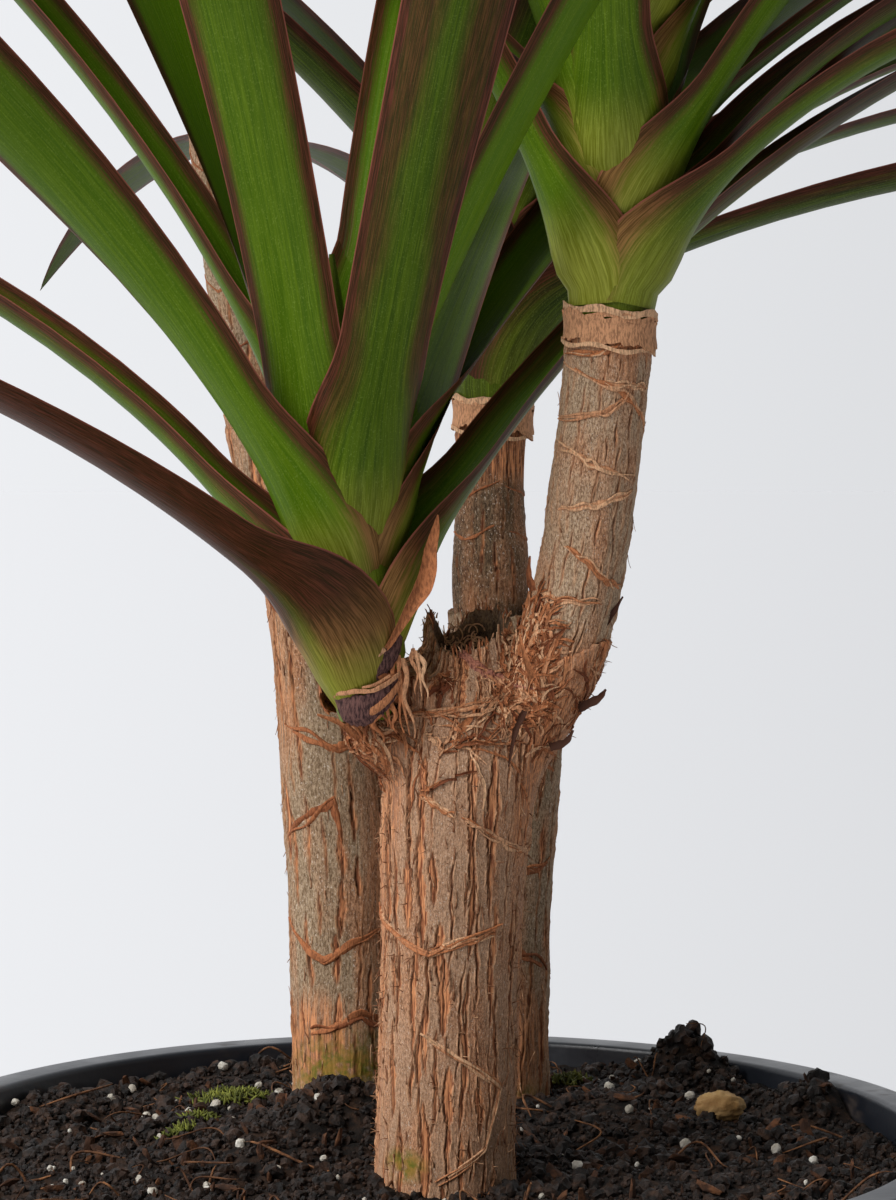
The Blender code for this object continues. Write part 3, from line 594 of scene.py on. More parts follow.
def cut_cracks(turn, along, radius, shape, seed):
    """Cracks down the bark: relief, and how far a point lies in a crack, its line or its lips."""
    count, shortest, longest, half_width = shape
    random = np.random.RandomState(seed)
    relief, inside, line, lip = (np.zeros(turn.shape) for _ in range(4))
    levels = along.mean(axis=1)
    for column in range(count):
        height = levels[0] - random.uniform(0, longest)
        while height < levels[-1]:
            length = random.uniform(shortest, longest)
            rows = slice(*np.searchsorted(levels, (height, height + length)))
            middle = height + length / 2
            place = (column + random.uniform(-0.1, 1.1)) / count * 2 * math.pi
            width = half_width * random.uniform(0.22, 1.0) ** 1.5
            slant, phase, depth = random.uniform(-0.05, 0.05), random.uniform(0, 6), random.uniform(0.5, 1.0)
            height += length * random.uniform(0.70, 1.35)
            if rows.stop - rows.start < 3:
                continue
            up = along[rows] - middle
            share = np.clip(np.abs(up) / (length / 2), 0, 1)
            wave = 0.00026 * np.sin(up * 330 + phase) + 0.00012 * np.sin(up * 1150 + phase)
            off = radius[rows] * turn_between(turn[rows], place) - slant * up - wave
            torn = 1 + 0.30 * np.sin(up * 2300 + 3 * phase) * np.sin(up * 1370 + phase)
            lens = width * (1 - share ** 2) ** 0.6 * torn
            away = np.abs(off)
            within = step_between(lens - away, -0.00008, 0.00018) * (share < 1)
            seam = np.exp(-((off - 0.75 * lens * math.sin(phase)) / SEAM_WIDTH) ** 2) * within
            side_seam = 0.8 * np.exp(-((off + 0.85 * lens) / SIDE_SEAM_WIDTH) ** 2) * within
            seam = np.maximum(seam, side_seam)
            rim = np.exp(-((away - lens - LIP_REACH) / LIP_WIDTH) ** 2)
            rim = rim * (1 - share ** 4) * (0.3 + 0.7 * depth)
            rim = rim * (0.55 + 0.45 * np.sin(up * 900 + 2 * phase + off * 4000))
            relief[rows] += LIP_RISE * rim - within * CRACK_SINK * depth - SEAM_SINK * seam * depth
            inside[rows] = np.maximum(inside[rows], within)
            line[rows] = np.maximum(line[rows], seam)
            lip[rows] = np.maximum(lip[rows], rim)
    return relief, inside, line, lip


def bark_marks(turn, along, radius, cracks, seed):
    """All relief of the bark on a grid of turns and heights, with the masks that colour it."""
    cells = int(round(2 * math.pi * radius.mean() / PLATE_WIDTH))
    around = turn / (2 * math.pi)
    plates = lattice_noise(around * cells, along / PLATE_HEIGHT, cells, seed)
    lumps = lattice_noise(around * 8, along / LUMP_HEIGHT, 8, seed + 1)
    grain = lattice_noise(around * cells * 7, along / GRAIN_HEIGHT, cells * 7, seed + 2)
    relief, inside, line, lip = cut_cracks(turn, along, radius, cracks, seed)
    relief = relief + PLATE_RELIEF * plates + LUMP_RELIEF * lumps + GRAIN_RELIEF * grain
    return relief, {"inside": inside, "line": line, "lip": lip, "plate": 0.5 + 0.5 * plates}


def limb_field(points, path, radii, lean):
    """Distance outside a rounded limb along a path, cut off flat at its far end."""
    nearest = np.full(points.shape[:-1], 1.0)
    for start, end, low, high in zip(path, path[1:], radii, radii[1:]):
        run = end - start
        share = np.clip((points - start) @ run / (run @ run), 0, 1)
        away = np.linalg.norm(points - start - share[..., None] * run, axis=-1) - (low + (high - low) * share)
        nearest = np.minimum(nearest, away)
    return np.maximum(nearest, (points - path[-1]) @ unit(lean))


def soft_union(first, second, blend):
    share = np.clip(0.5 + 0.5 * (second - first) / blend, 0, 1)
    return second * (1 - share) + first * share - blend * share * (1 - share)


def forked_radius(axis, turn, trunk, collars):
    """Radius at which level rays from the cane's axis leave the cane with its collars."""
    steps = np.linspace(*FORK_REACH, 65)
    ray = polar(1.0, turn, 0.0)
    spots = axis[..., None, :] + ray[..., None, :] * steps[:, None]
    field = steps - trunk[..., None]
    for collar in collars:
        path = collar_path(collar)
        radii = np.linspace(collar.inner_radius, collar.seat_radius, len(path))
        field = soft_union(field, limb_field(spots, path, radii, collar.lean), FORK_BLEND)
    outside = field > 0
    first = np.clip(outside.argmax(axis=-1), 1, len(steps) - 1)
    after = np.take_along_axis(field, first[..., None], -1)[..., 0]
    before = np.take_along_axis(field, first[..., None] - 1, -1)[..., 0]
    return steps[first] - (steps[1] - steps[0]) * after / np.maximum(after - before, 1e-9)


def grid_piece(name, grid, masks, finish):
    """Closed tube from rings of points, first ring lowest, with its masks as attributes."""
    piece = mesh_piece(name, grid.reshape(-1, 3), tube_faces(*grid.shape[:2]))
    for label, values in masks.items():
        mark(piece, label, values)
    piece.data.materials.append(finish)
    return piece


def rim_height(turn, rim, seed):
    """Height of the ragged rim of a cut, by turn."""
    turns = np.radians([360 * lap + spot[0] for lap in range(3) for spot in rim])
    height = np.interp(turn + 2 * math.pi, turns, [spot[1] for spot in rim] * 3)
    around = turn / (2 * math.pi)
    height = height + 0.0005 * lattice_noise(around * 46, np.full(turn.shape, 0.5), 46, seed)
    return height + 0.0004 * lattice_noise(around * 120, np.full(turn.shape, 0.5), 120, seed + 1)


def patches(turn, along, radius, rows):
    """Soft patches on a stem: strength, turn from the front, height, half width and half height."""
    total = np.zeros(turn.shape)
    for strength, degrees, height, half_width, half_height in rows:
        across = radius * turn_between(turn, math.radians(270 + degrees)) / half_width
        total += strength * step_between(1.6 - np.hypot(across, (along - height) / half_height), 0.0, 1.2)
    return total


def cane_bark(node, path, radii, collars, finish, rim, columns, pitch, cracks, seed, stem, warm, moss):
    """Bark of a cane with its fork, and the rotten hollow of its sawn top. Warm and mossy places are
    rows for patches, measured round a stem of the radius `stem`."""
    centres, sizes = path_with_radii(path, radii, STEM_STEPS)
    top = centres[-1, 2]
    levels = np.arange(CANE_FOOT, top, pitch)[:, None]
    turn = full_turn(columns) + np.zeros(levels.shape)
    axis = np.stack([np.interp(levels, centres[:, 2], centres[:, k]) for k in (0, 1)] + [levels], axis=-1)
    axis = axis + np.zeros((*turn.shape, 1))
    trunk = np.interp(levels, centres[:, 2], sizes) + np.zeros(turn.shape)
    radius = trunk.copy()
    fork = levels[:, 0] > min(collar.start[2] for collar in collars) - 0.020
    radius[fork] = forked_radius(axis[fork], turn[fork], trunk[fork], collars)
    # The cut slopes and its rim is ragged, so the last rows are stretched to follow it
    edge = rim_height(turn[0], rim, seed + 9)
    along = levels + step_between(levels, top - 0.018, top) * (edge - top)
    relief, masks = bark_marks(turn, along, radius, cracks, seed)
    flare = step_between(radius - trunk, 0.0005, 0.004)
    masks["warm"] = np.clip(patches(turn, along, stem, warm) + 0.55 * flare, 0, 1)
    masks["moss"] = patches(turn, along, stem, moss)
    masks["dark"] = step_between(along - edge, -0.0006, 0.0002) * 0.35
    masks["room"] = (0.12 + 0.88 * masks["lip"]) * step_between(along, 0.172, 0.174)
    grid = polar(radius + relief, turn, along, (axis[..., 0], axis[..., 1]))
    # Rotten wood inside the rim: a steep wall, then a rough floor
    shares = np.array(PIT_SHARES)[:, None]
    pit_turn = turn[0] + np.zeros(shares.shape)
    rot = lattice_noise(pit_turn / (2 * math.pi) * 40, shares * 9, 40, seed + 11)
    floor_height = min(spot[1] for spot in rim) - 0.0016
    sink = step_between(shares, 0.03, 0.26)
    level = edge * (1 - sink) + floor_height * sink + 0.0005 * rot * (1 - shares)
    inner = trunk[-1] * (1 - shares) + 0.0005 * rot * (1 - shares)
    grid = np.concatenate([grid, polar(inner, pit_turn, level, axis[-1, 0])])
    for label in masks:
        rotten = 0.62 + 0.38 * step_between(shares, 0.05, 0.20) if label == "dark" else 0.0
        masks[label] = np.concatenate([masks[label], rotten + 0 * pit_turn])
    cane = grid_piece(node + "_bark", grid, masks, finish)
    seat(cane, "bark", node)
    return cane


def attribute(tree, name):
    return add_node(tree, "ShaderNodeAttribute", attribute_name=name).outputs["Fac"]


def layered(tree, tone, layers):
    """The tone with each layer's colour laid over it by its factor."""
    for factor, colour in layers:
        tone = mix_colour(tree, factor, tone, colour)
    return tone


def bark_finish(name, pale, deep, lip_tone_and_highlight, grain=1.0):
    """Dry corky bark: speckled plates, orange-brown cracks with pale lips brightened by a painted highlight,
    moss and rot.
    """
    finish, tree, shader = new_finish(name, 0.86, 0.2)
    fine = pattern(tree, 3600.0 * grain, 1500.0 * grain, 0.78)
    specks = pattern(tree, 3900.0 * grain, 2400.0 * grain, 0.6)
    strands = pattern(tree, 3000.0 * grain, 190.0 * grain, 0.65)
    corky = ramp(tree, fine, 0.36, 0.62)
    tawny = mix_colour(tree, corky, shade(122, 76, 50), shade(206, 148, 108))
    plate = product(tree, ramp(tree, attribute(tree, "plate"), 0.25, 0.80),
                    ramp(tree, pattern(tree, 150.0, 60.0), 0.38, 0.62, 0.15, 0.75))
    orange = mix_colour(tree, ramp(tree, strands, 0.40, 0.60), shade(120, 62, 36), shade(222, 150, 102))
    warm = product(tree, attribute(tree, "warm"), ramp(tree, strands, 0.30, 0.62, 0.35, 1.0))
    lips = product(tree, attribute(tree, "lip"), ramp(tree, fine, 0.3, 0.6, 0.4, 1.0))
    green = mix_colour(tree, ramp(tree, pattern(tree, 700.0), 0.4, 0.62), shade(150, 118, 52),
                       shade(104, 104, 34))
    moss = product(tree, attribute(tree, "moss"), ramp(tree, pattern(tree, 420.0), 0.36, 0.56))
    rot = mix_colour(tree, ramp(tree, pattern(tree, 1900.0, 1100.0, 0.7), 0.42, 0.66), shade(24, 18, 14),
                     shade(118, 92, 64))
    paint(tree, shader, layered(tree, mix_colour(tree, corky, deep, pale), (
        (plate, tawny),
        (ramp(tree, specks, 0.58, 0.70, 0.0, 0.55), shade(84, 58, 42)),
        (ramp(tree, specks, 0.41, 0.33, 0.0, 0.60), shade(228, 212, 194)),
        (warm, orange),
        (product(tree, attribute(tree, "inside"), 0.92), orange),
        # Raised lips: paler in their own colour, and brightened further as a painted highlight on the ridges
        (lips, lip_tone_and_highlight),
        (attribute(tree, "line"), shade(46, 24, 15)),
        (moss, green),
        (attribute(tree, "dark"), rot))))
    bump(tree, shader, strands, 0.00018, before=bump(tree, shader, fine, 0.00009))
    return finish


front_bark = bark_finish("bark_front", shade(194, 154, 123), shade(138, 104, 79), shade(240, 184, 140))
rear_bark = bark_finish("bark_rear", shade(176, 152, 124), shade(110, 86, 62), shade(196, 138, 94), 0.7)
front_cane = cane_bark(
    "front_cane", FRONT_CANE_PATH, FRONT_CANE_RADII, (FRONT_RIGHT_COLLAR, FRONT_LEFT_SKIN, FRONT_SHOULDER),
    front_bark, FRONT_RIM, 500, 0.00068, (36, 0.007, 0.032, 0.00112), 3, 0.013,
    ((0.85, -86, 0.205, 0.0035, 0.050), (0.9, -62, 0.244, 0.0034, 0.012), (0.9, 60, 0.246, 0.0030, 0.012),
     (0.5, 88, 0.200, 0.0030, 0.030)),
    ((1.0, -36, 0.1765, 0.0042, 0.0026),))
rear_left_cane = cane_bark(
    "rear_left_cane", REAR_LEFT_CANE_PATH, REAR_LEFT_CANE_RADII, (REAR_LEFT_COLLAR,),
    rear_bark, REAR_LEFT_RIM, 240, 0.0008, (20, 0.007, 0.024, 0.0009), 5, 0.011,
    ((0.95, -40, 0.1870, 0.010, 0.009), (0.5, 60, 0.215, 0.006, 0.025), (0.6, -70, 0.262, 0.006, 0.020)),
    ((1.0, 5, 0.1790, 0.013, 0.009),))
rear_right_cane = cane_bark(
    "rear_right_cane", REAR_RIGHT_CANE_PATH, REAR_RIGHT_CANE_RADII, (REAR_RIGHT_COLLAR,),
    rear_bark, REAR_RIGHT_RIM, 240, 0.0008, (20, 0.007, 0.024, 0.0009), 7, 0.011,
    ((0.7, 20, 0.1850, 0.010, 0.012), (0.5, -20, 0.232, 0.006, 0.02)),
    ((1.0, 0, 0.1700, 0.012, 0.006),))


# Branches
# Younger wood that grows from the collars: slimmer, greyer and finer in grain. Each bark runs down
# into its collar, so the fork shows no seam.
FRONT_RIGHT_BRANCH_END = ((0.0307, -0.030, 0.2915), (0.0338, -0.030, 0.3168), (0.0350, -0.030, 0.3312))
FRONT_RIGHT_BRANCH_RADII = (0.0082, 0.0081, 0.0080, 0.0079, 0.0080)
REAR_LEFT_BRANCH_END = ((-0.0385, 0.033, 0.3510), (-0.0440, 0.033, 0.3990), (-0.0475, 0.034, 0.4380))
REAR_LEFT_BRANCH_RADII = (0.0076, 0.0075, 0.0070, 0.0068, 0.0072)
REAR_RIGHT_BRANCH_END = ((0.0136, 0.045, 0.2930), (0.0138, 0.045, 0.3050), (0.0144, 0.045, 0.3150))
REAR_RIGHT_BRANCH_RADII = (0.0080, 0.0080, 0.0074, 0.0072, 0.0076)
BRANCH_STRAIGHT = 0.004


def branch_path(collar, end):
    """Path of a branch: it starts GAP clear of its collar's seat and ends GAP short of its head."""
    start = np.array(collar.seat) + unit(collar.lean) * GAP
    return (tuple(start), tuple(start + unit(collar.lean) * BRANCH_STRAIGHT), *end)


def square_frame(direction):
    """Unit vectors along a direction, across it towards +X, and square to both."""
    axis = unit(direction)
    across = unit(np.cross((0.0, 1.0, 0.0), axis))
    return axis, across, np.cross(axis, across)


def spokes(direction, turns):
    """Unit vectors square to a direction, one for each turn."""
    _, across, forward = square_frame(direction)
    return np.outer(np.cos(turns), across) + np.outer(np.sin(turns), forward)


def branch_bark(node, collar, end, radii, finish, count, sides, cracks, seed, foot, tip, blotches):
    """Bark of a branch. Foot and tip give strength, start and end of a warm tone there, and blotches
    give strength, count along it and seed."""
    path = (*map(tuple, collar_path(collar)[2:4]), *branch_path(collar, end))
    sizes = (collar.seat_radius - 0.0006, collar.seat_radius - 0.0002, *radii)
    centres, sizes = path_with_radii(path, sizes, count)
    turns = full_turn(sides)
    outward = np.array([spokes(tangent, turns) for tangent in np.gradient(centres, axis=0)])
    lengths = np.concatenate([[0.0], np.cumsum(np.linalg.norm(np.diff(centres, axis=0), axis=1))])
    turn = turns + np.zeros((count, 1))
    along = lengths[:, None] + np.zeros(turn.shape)
    radius = sizes[:, None] + np.zeros(turn.shape)
    relief, masks = bark_marks(turn, along, radius, cracks, seed)
    share = along / along.max()
    warm = foot[0] * (1 - step_between(share, *foot[1:])) + tip[0] * step_between(share, *tip[1:])
    warm += blotches[0] * lattice_noise(turn / (2 * math.pi) * 6, share * blotches[1], 6, blotches[2])
    masks["warm"] = np.clip(warm, 0, 1)
    masks["moss"] = masks["dark"] = np.zeros(turn.shape)
    masks["room"] = 0.12 + 0.88 * masks["lip"]
    grid = centres[:, None, :] + outward * (radius + relief)[..., None]
    branch = grid_piece(node + "_bark", grid, masks, finish)
    seat(branch, "bark", node)
    return branch


branch_finish = bark_finish("bark_branch", shade(196, 168, 138), shade(118, 90, 66), shade(214, 162, 122))
# Younger bark of the rear right branch, darkened further as painted shade where it stands behind the heads
young_bark_and_shade = bark_finish("bark_rear_young", shade(126, 102, 78), shade(62, 46, 32), shade(150, 104, 70), 0.7)
front_right_branch = branch_bark(
    "front_right_branch", FRONT_RIGHT_COLLAR, FRONT_RIGHT_BRANCH_END, FRONT_RIGHT_BRANCH_RADII,
    branch_finish, 200, 240, (24, 0.004, 0.015, 0.00030), 11, (0.9, 0.05, 0.26), (0.8, 0.90, 0.95),
    (0.30, 9, 77))
rear_left_branch = branch_bark(
    "rear_left_branch", REAR_LEFT_COLLAR, REAR_LEFT_BRANCH_END, REAR_LEFT_BRANCH_RADII,
    rear_bark, 200, 150, (12, 0.006, 0.018, 0.0005), 13, (0.8, 0.05, 0.15), (0.6, 0.93, 0.98), (0.4, 12, 78))
rear_right_branch = branch_bark(
    "rear_right_branch", REAR_RIGHT_COLLAR, REAR_RIGHT_BRANCH_END, REAR_RIGHT_BRANCH_RADII,
    young_bark_and_shade, 90, 150, (12, 0.006, 0.016, 0.0005), 15, (0.0, 0.0, 1.0), (0.7, 0.6, 0.8), (0.4, 5, 79))


# Leaf scars and shreds of bark
# Each shed leaf left a ridge of dry strands across the stem, and the bark splits into slivers and
# bristles that stand off it. The ridges are ribbons laid on the bark, the rest is strewn on it.
RAY_START = 0.05
COUNTED_AREA = 0.004
# Scars as turns from the front, positive to the right, and heights
FRONT_CANE_SCARS = (
    ((-96, 0.2230), (-76, 0.2211), (-18, 0.2152), (43, 0.2211)),
    ((-18, 0.2160), (0, 0.2178), (38, 0.2188)),
    ((-1, 0.2412), (19, 0.2385), (44, 0.2352), (72, 0.2339), (98, 0.2372)),
    ((-30, 0.2446), (-1, 0.2412)),
    ((-26, 0.2009), (10, 0.1962), (48, 0.1908), (33, 0.1797), (-13, 0.1724)),
    ((-60, 0.2583), (-14, 0.2600), (8, 0.2612), (24, 0.2622)),
    ((120, 0.2290), (165, 0.2205), (215, 0.2270)),
    ((135, 0.2060), (180, 0.1990), (228, 0.2035), (255, 0.1960)),
    ((100, 0.1850), (150, 0.1770), (205, 0.1840)),
)
FRONT_RIGHT_BRANCH_SCARS = (
    ((-90, 0.3254), (-13, 0.3256), (16, 0.3265), (50, 0.3270)),
    ((-80, 0.3246), (-12, 0.3199), (24, 0.3178), (55, 0.3148), (85, 0.3120)),
    ((-8, 0.3199), (40, 0.3192), (75, 0.3190)),
    ((-95, 0.3134), (-5, 0.3141), (20, 0.3159), (33, 0.3174)),
    ((-70, 0.3092), (-20, 0.3059), (0, 0.3043), (60, 0.3021)),
    ((-50, 0.2964), (0, 0.2975), (60, 0.2999)),
    ((-38, 0.2909), (0, 0.2873), (40, 0.2834), (70, 0.2820)),
    ((-60, 0.2816), (-25, 0.2800), (35, 0.2796)),
    ((110, 0.3230), (170, 0.3180), (230, 0.3215)),
    ((100, 0.3070), (165, 0.3030), (240, 0.3065)),
    ((110, 0.2920), (180, 0.2870), (235, 0.2905)),
)
REAR_LEFT_CANE_SCARS = (
    ((-80, 0.2120), (-20, 0.2050), (40, 0.2095), (80, 0.2080)),
    ((-70, 0.2290), (0, 0.2370), (6, 0.2285)),
    ((-60, 0.2520), (10, 0.2475), (70, 0.2500)),
    ((-50, 0.1880), (20, 0.1935), (80, 0.1890)),
    ((-75, 0.2790), (-10, 0.2710), (60, 0.2775)),
    ((100, 0.2210), (160, 0.2150), (230, 0.2230)),
    ((95, 0.2620), (170, 0.2550), (250, 0.2610)),
    ((110, 0.1960), (190, 0.1900), (240, 0.1950)),
)
REAR_RIGHT_CANE_SCARS = (
    ((-60, 0.2010), (10, 0.2060), (70, 0.1990)),
    ((-70, 0.2230), (0, 0.2180), (75, 0.2240)),
    ((-60, 0.2420), (-5, 0.2475), (60, 0.2410)),
    ((-80, 0.2630), (0, 0.2600), (80, 0.2640)),
    ((110, 0.2080), (180, 0.2130), (240, 0.2060)),
    ((100, 0.2320), (170, 0.2270), (250, 0.2330)),
)


def ribbon(points, outward, widths, thickness, curl, columns=4):
    """Closed thin ribbon along points, curled across, its face towards `outward`."""
    points = np.asarray(points, float)
    t = np.linspace(-1, 1, columns)
    rings = []
    for point, tangent, face, width in zip(points, np.gradient(points, axis=0), outward, widths):
        side = unit(np.cross(tangent, face))
        face = np.cross(side, unit(tangent))
        bow = width / 2 / curl
        front = point + np.outer(bow * np.sin(t * curl), side) + np.outer(bow * (1 - np.cos(t * curl)), face)
        rings.append(np.vstack((front + face * thickness / 2, front[::-1] - face * thickness / 2)))
    return np.vstack(rings), tube_faces(len(rings), 2 * columns, (1, 0, 3, 2))


def joined(name, parts, finish, tones):
    """One piece from many closed shapes, each with its own tone from 0 to 1."""
    points, faces, tone, base = [], [], [], 0
    for (part_points, part_faces), value in zip(parts, tones):
        points.append(part_points)
        faces += [tuple(base + k for k in face) for face in part_faces]
        tone.append(np.full(len(part_points), value))
        base += len(part_points)
    piece = mesh_piece(name, np.vstack(points), faces)
    mark(piece, "tone", np.concatenate(tone))
    piece.data.set_sharp_from_angle(angle=math.radians(50))
    piece.data.materials.append(finish)
    return piece


def surface_tree(*pieces):
    points, faces = [], []
    for piece in pieces:
        base = len(points)
        points += [vertex.co.copy() for vertex in piece.data.vertices]
        faces += [[base + k for k in face.vertices] for face in piece.data.polygons
                  if len(face.vertices) == 4]
    return BVHTree.FromPolygons(points, faces)


def shred_finish():
    """Dry papery leaf base, streaked along, from dark orange-brown to pale straw."""
    finish, tree, shader = new_finish("dry_shred", 0.74, 0.2)
    tone = attribute(tree, "tone")
    streak = pattern(tree, 2600.0, 700.0, 0.7)
    low = mix_colour(tree, ramp(tree, tone, 0.0, 0.5), shade(118, 62, 36), shade(192, 122, 78))
    low = mix_colour(tree, ramp(tree, tone, -0.5, 0.0), shade(54, 34, 24), low)
    full = mix_colour(tree, ramp(tree, tone, 0.5, 1.0), low, shade(232, 184, 142))
    full = mix_colour(tree, ramp(tree, streak, 0.38, 0.58, 0.55, 0.0), full, shade(66, 32, 18))
    plum = mix_colour(tree, ramp(tree, streak, 0.36, 0.62), shade(44, 25, 26), shade(112, 78, 72))
    paint(tree, shader, mix_colour(tree, ramp(tree, tone, 1.4, 1.6), full, plum))
    bump(tree, shader, streak, 0.00018)
    return finish


def scar_strands(skin, centres, scar, width, strands, random):
    """Ribbons side by side across a stem, through marks of turn from the front and height."""
    made = []
    marks = np.array(scar, float)
    for number in range(strands):
        # The first strand is a broad flat band, the rest run over it
        across = width * (2.3 if number == 0 and strands > 1 else random.uniform(0.6, 1.3))
        steps = np.linspace(0, len(marks) - 1, 15 * len(marks))
        line = np.stack([np.interp(steps, range(len(marks)), marks[:, k]) for k in (0, 1)], axis=1)
        first, last = (int(random.uniform(0, share) * len(line)) for share in (0.12, 0.16))
        line = line[first:len(line) - last]
        t = np.linspace(0, 1, len(line))
        phase = random.uniform(0, 6, 3)
        sway = 0.25 if number == 0 else 1.0
        heights = line[:, 1] + sway * width * (np.sin(6 * t + phase[0]) + 0.5 * np.sin(17 * t + phase[1]))
        rays = polar(1.0, np.radians(270 + line[:, 0]), 0.0)
        middles = [np.array([np.interp(height, centres[:, 2], centres[:, k]) for k in (0, 1)] + [height])
                   for height in heights]
        # Rays from outside find the bark, and where one misses, the strand keeps its distance
        reach = []
        for middle, ray in zip(middles, rays):
            place, _, _, run = skin.ray_cast(Vector(middle + RAY_START * ray), Vector(-ray))
            reach.append(RAY_START - run if place is not None else reach[-1])
        crest = np.array([max(reach[max(k - 1, 0):k + 2]) for k in range(len(reach))])
        crest = np.convolve(np.pad(crest, 2, "edge"), np.full(5, 0.2), "valid")
        crest = crest + (number > 0) * random.uniform(0.0001, 0.0003)
        course = [middle + ray * value for middle, ray, value in zip(middles, rays, crest)]
        facing = rays + np.outer(0.7 * np.sin(9 * t + phase[2]), UPRIGHT)
        widths = across * (0.2 + 0.8 * np.sin(np.pi * (0.05 + 0.9 * t)))
        made.append(ribbon(course, facing, widths * (1 + 0.35 * np.sin(23 * t + phase[1])), 0.00030, -0.7, 5))
    return made


def scar_piece(node, bark, path, radii, scars, width, strands, low, high, seed):
    random = np.random.RandomState(seed)
    skin = surface_tree(bark)
    centres = path_with_radii(path, radii, STEM_STEPS)[0]
    made = [shape for scar in scars for shape in scar_strands(skin, centres, scar, width, strands, random)]
    seat(joined(node + "_scars", made, dry_shred, [random.uniform(low, high) for _ in made]), "bark")


def ring_scars(path, gap, random):
    """Zigzag scars all round a stem, one ring after another."""
    path = np.asarray(path)
    scars = []
    for level in np.arange(path[:, 2].min() + gap, path[:, 2].max() - gap / 2, gap):
        for start in (-95, 25, 145):
            rise = random.uniform(0.15, 0.35) * gap
            scars.append(((start, level + random.uniform(-0.1, 0.1) * gap), (start + 55, level - rise),
                          (start + 120, level + random.uniform(-0.1, 0.2) * gap)))
    return scars


dry_shred = shred_finish()
scar_piece("front_cane", front_cane, FRONT_CANE_PATH, FRONT_CANE_RADII, FRONT_CANE_SCARS,
           0.00050, 5, 0.45, 1.0, 31)
scar_piece("front_right_branch", front_right_branch, branch_path(FRONT_RIGHT_COLLAR, FRONT_RIGHT_BRANCH_END),
           FRONT_RIGHT_BRANCH_RADII, FRONT_RIGHT_BRANCH_SCARS, 0.00056, 3, 0.45, 0.95, 32)
scar_piece("rear_left_cane", rear_left_cane, REAR_LEFT_CANE_PATH, REAR_LEFT_CANE_RADII,
           REAR_LEFT_CANE_SCARS, 0.0010, 2, 0.10, 0.40, 33)
scar_piece("rear_right_cane", rear_right_cane, REAR_RIGHT_CANE_PATH, REAR_RIGHT_CANE_RADII,
           REAR_RIGHT_CANE_SCARS, 0.0010, 2, 0.10, 0.40, 34)
random = np.random.RandomState(35)
for node, bark, collar, end, radii, gap in (
        ("rear_left_branch", rear_left_branch, REAR_LEFT_COLLAR, REAR_LEFT_BRANCH_END,
         REAR_LEFT_BRANCH_RADII, 0.0125),
        ("rear_right_branch", rear_right_branch, REAR_RIGHT_COLLAR, REAR_RIGHT_BRANCH_END,
         REAR_RIGHT_BRANCH_RADII, 0.0100)):
    line = branch_path(collar, end)
    scar_piece(node, bark, line, radii, ring_scars(line, gap, random), 0.0007, 1, 0.15, 0.45, 36)

def sliver_shape(name, seed, upwards):
    """A torn strip of bark about 1 long on the Y axis, held at one end and curled off at the other."""
    random = np.random.RandomState(seed)
    t = np.linspace(0, 1, 6)
    lift = random.uniform(0.10, 0.28) * t ** 2 - 0.01
    course = np.stack([0.07 * np.sin(3 * t + seed), upwards * t, lift], axis=1)
    widths = random.uniform(0.07, 0.13) * (1 - 0.85 * t ** 1.5)
    points, faces = ribbon(course, [(0.2 * math.sin(seed), 0.0, 1.0)] * 6, widths, 0.030, -0.6, 3)
    shape = mesh_piece(name, points, faces)
    bpy.context.scene.collection.objects.unlink(shape)
    return shape


# Slivers and bristles are counted for COUNTED_AREA of bark, in square metres
shred_crumbs = crumb_finish("bark_shreds", shade(122, 72, 44), shade(228, 182, 140), 0.8, 1600.0)
for node, bark, count, smallest, largest, seed in (
        ("front_cane", front_cane, 1500, 0.0010, 0.0042, 81),
        ("front_right_branch", front_right_branch, 420, 0.0008, 0.0030, 82),
        ("rear_left_cane", rear_left_cane, 500, 0.0012, 0.0040, 83),
        ("rear_right_cane", rear_right_cane, 400, 0.0012, 0.0040, 84)):
    slivers = [sliver_shape("sliver_%d" % k, k, 1.0 if k % 2 else -1.0) for k in range(8)]
    strew(node + "_slivers", bark, slivers, shred_crumbs, "bark", Seed=seed, Density=count / COUNTED_AREA,
          Smallest=smallest, Largest=largest, Lift=0.00012, Tilt=0.10, Spin=0.14)
bristles = []
for k in range(6):
    course = [(0.22 * math.sin(k) * t * t, 0.3 * math.cos(2.2 * k) * t * t, t - 0.05)
              for t in np.linspace(0, 1, 4)]
    bristles.append(bent_rod("bristle_%d" % k, course, 0.065 * np.array((1.0, 0.9, 0.7, 0.3)), 3))
strew("front_cane_bristles", front_cane, bristles, shred_crumbs, "bark", Seed=85, Density=2400 / COUNTED_AREA,
      Smallest=0.0004, Largest=0.0020, Lift=0.0, Tilt=0.7)


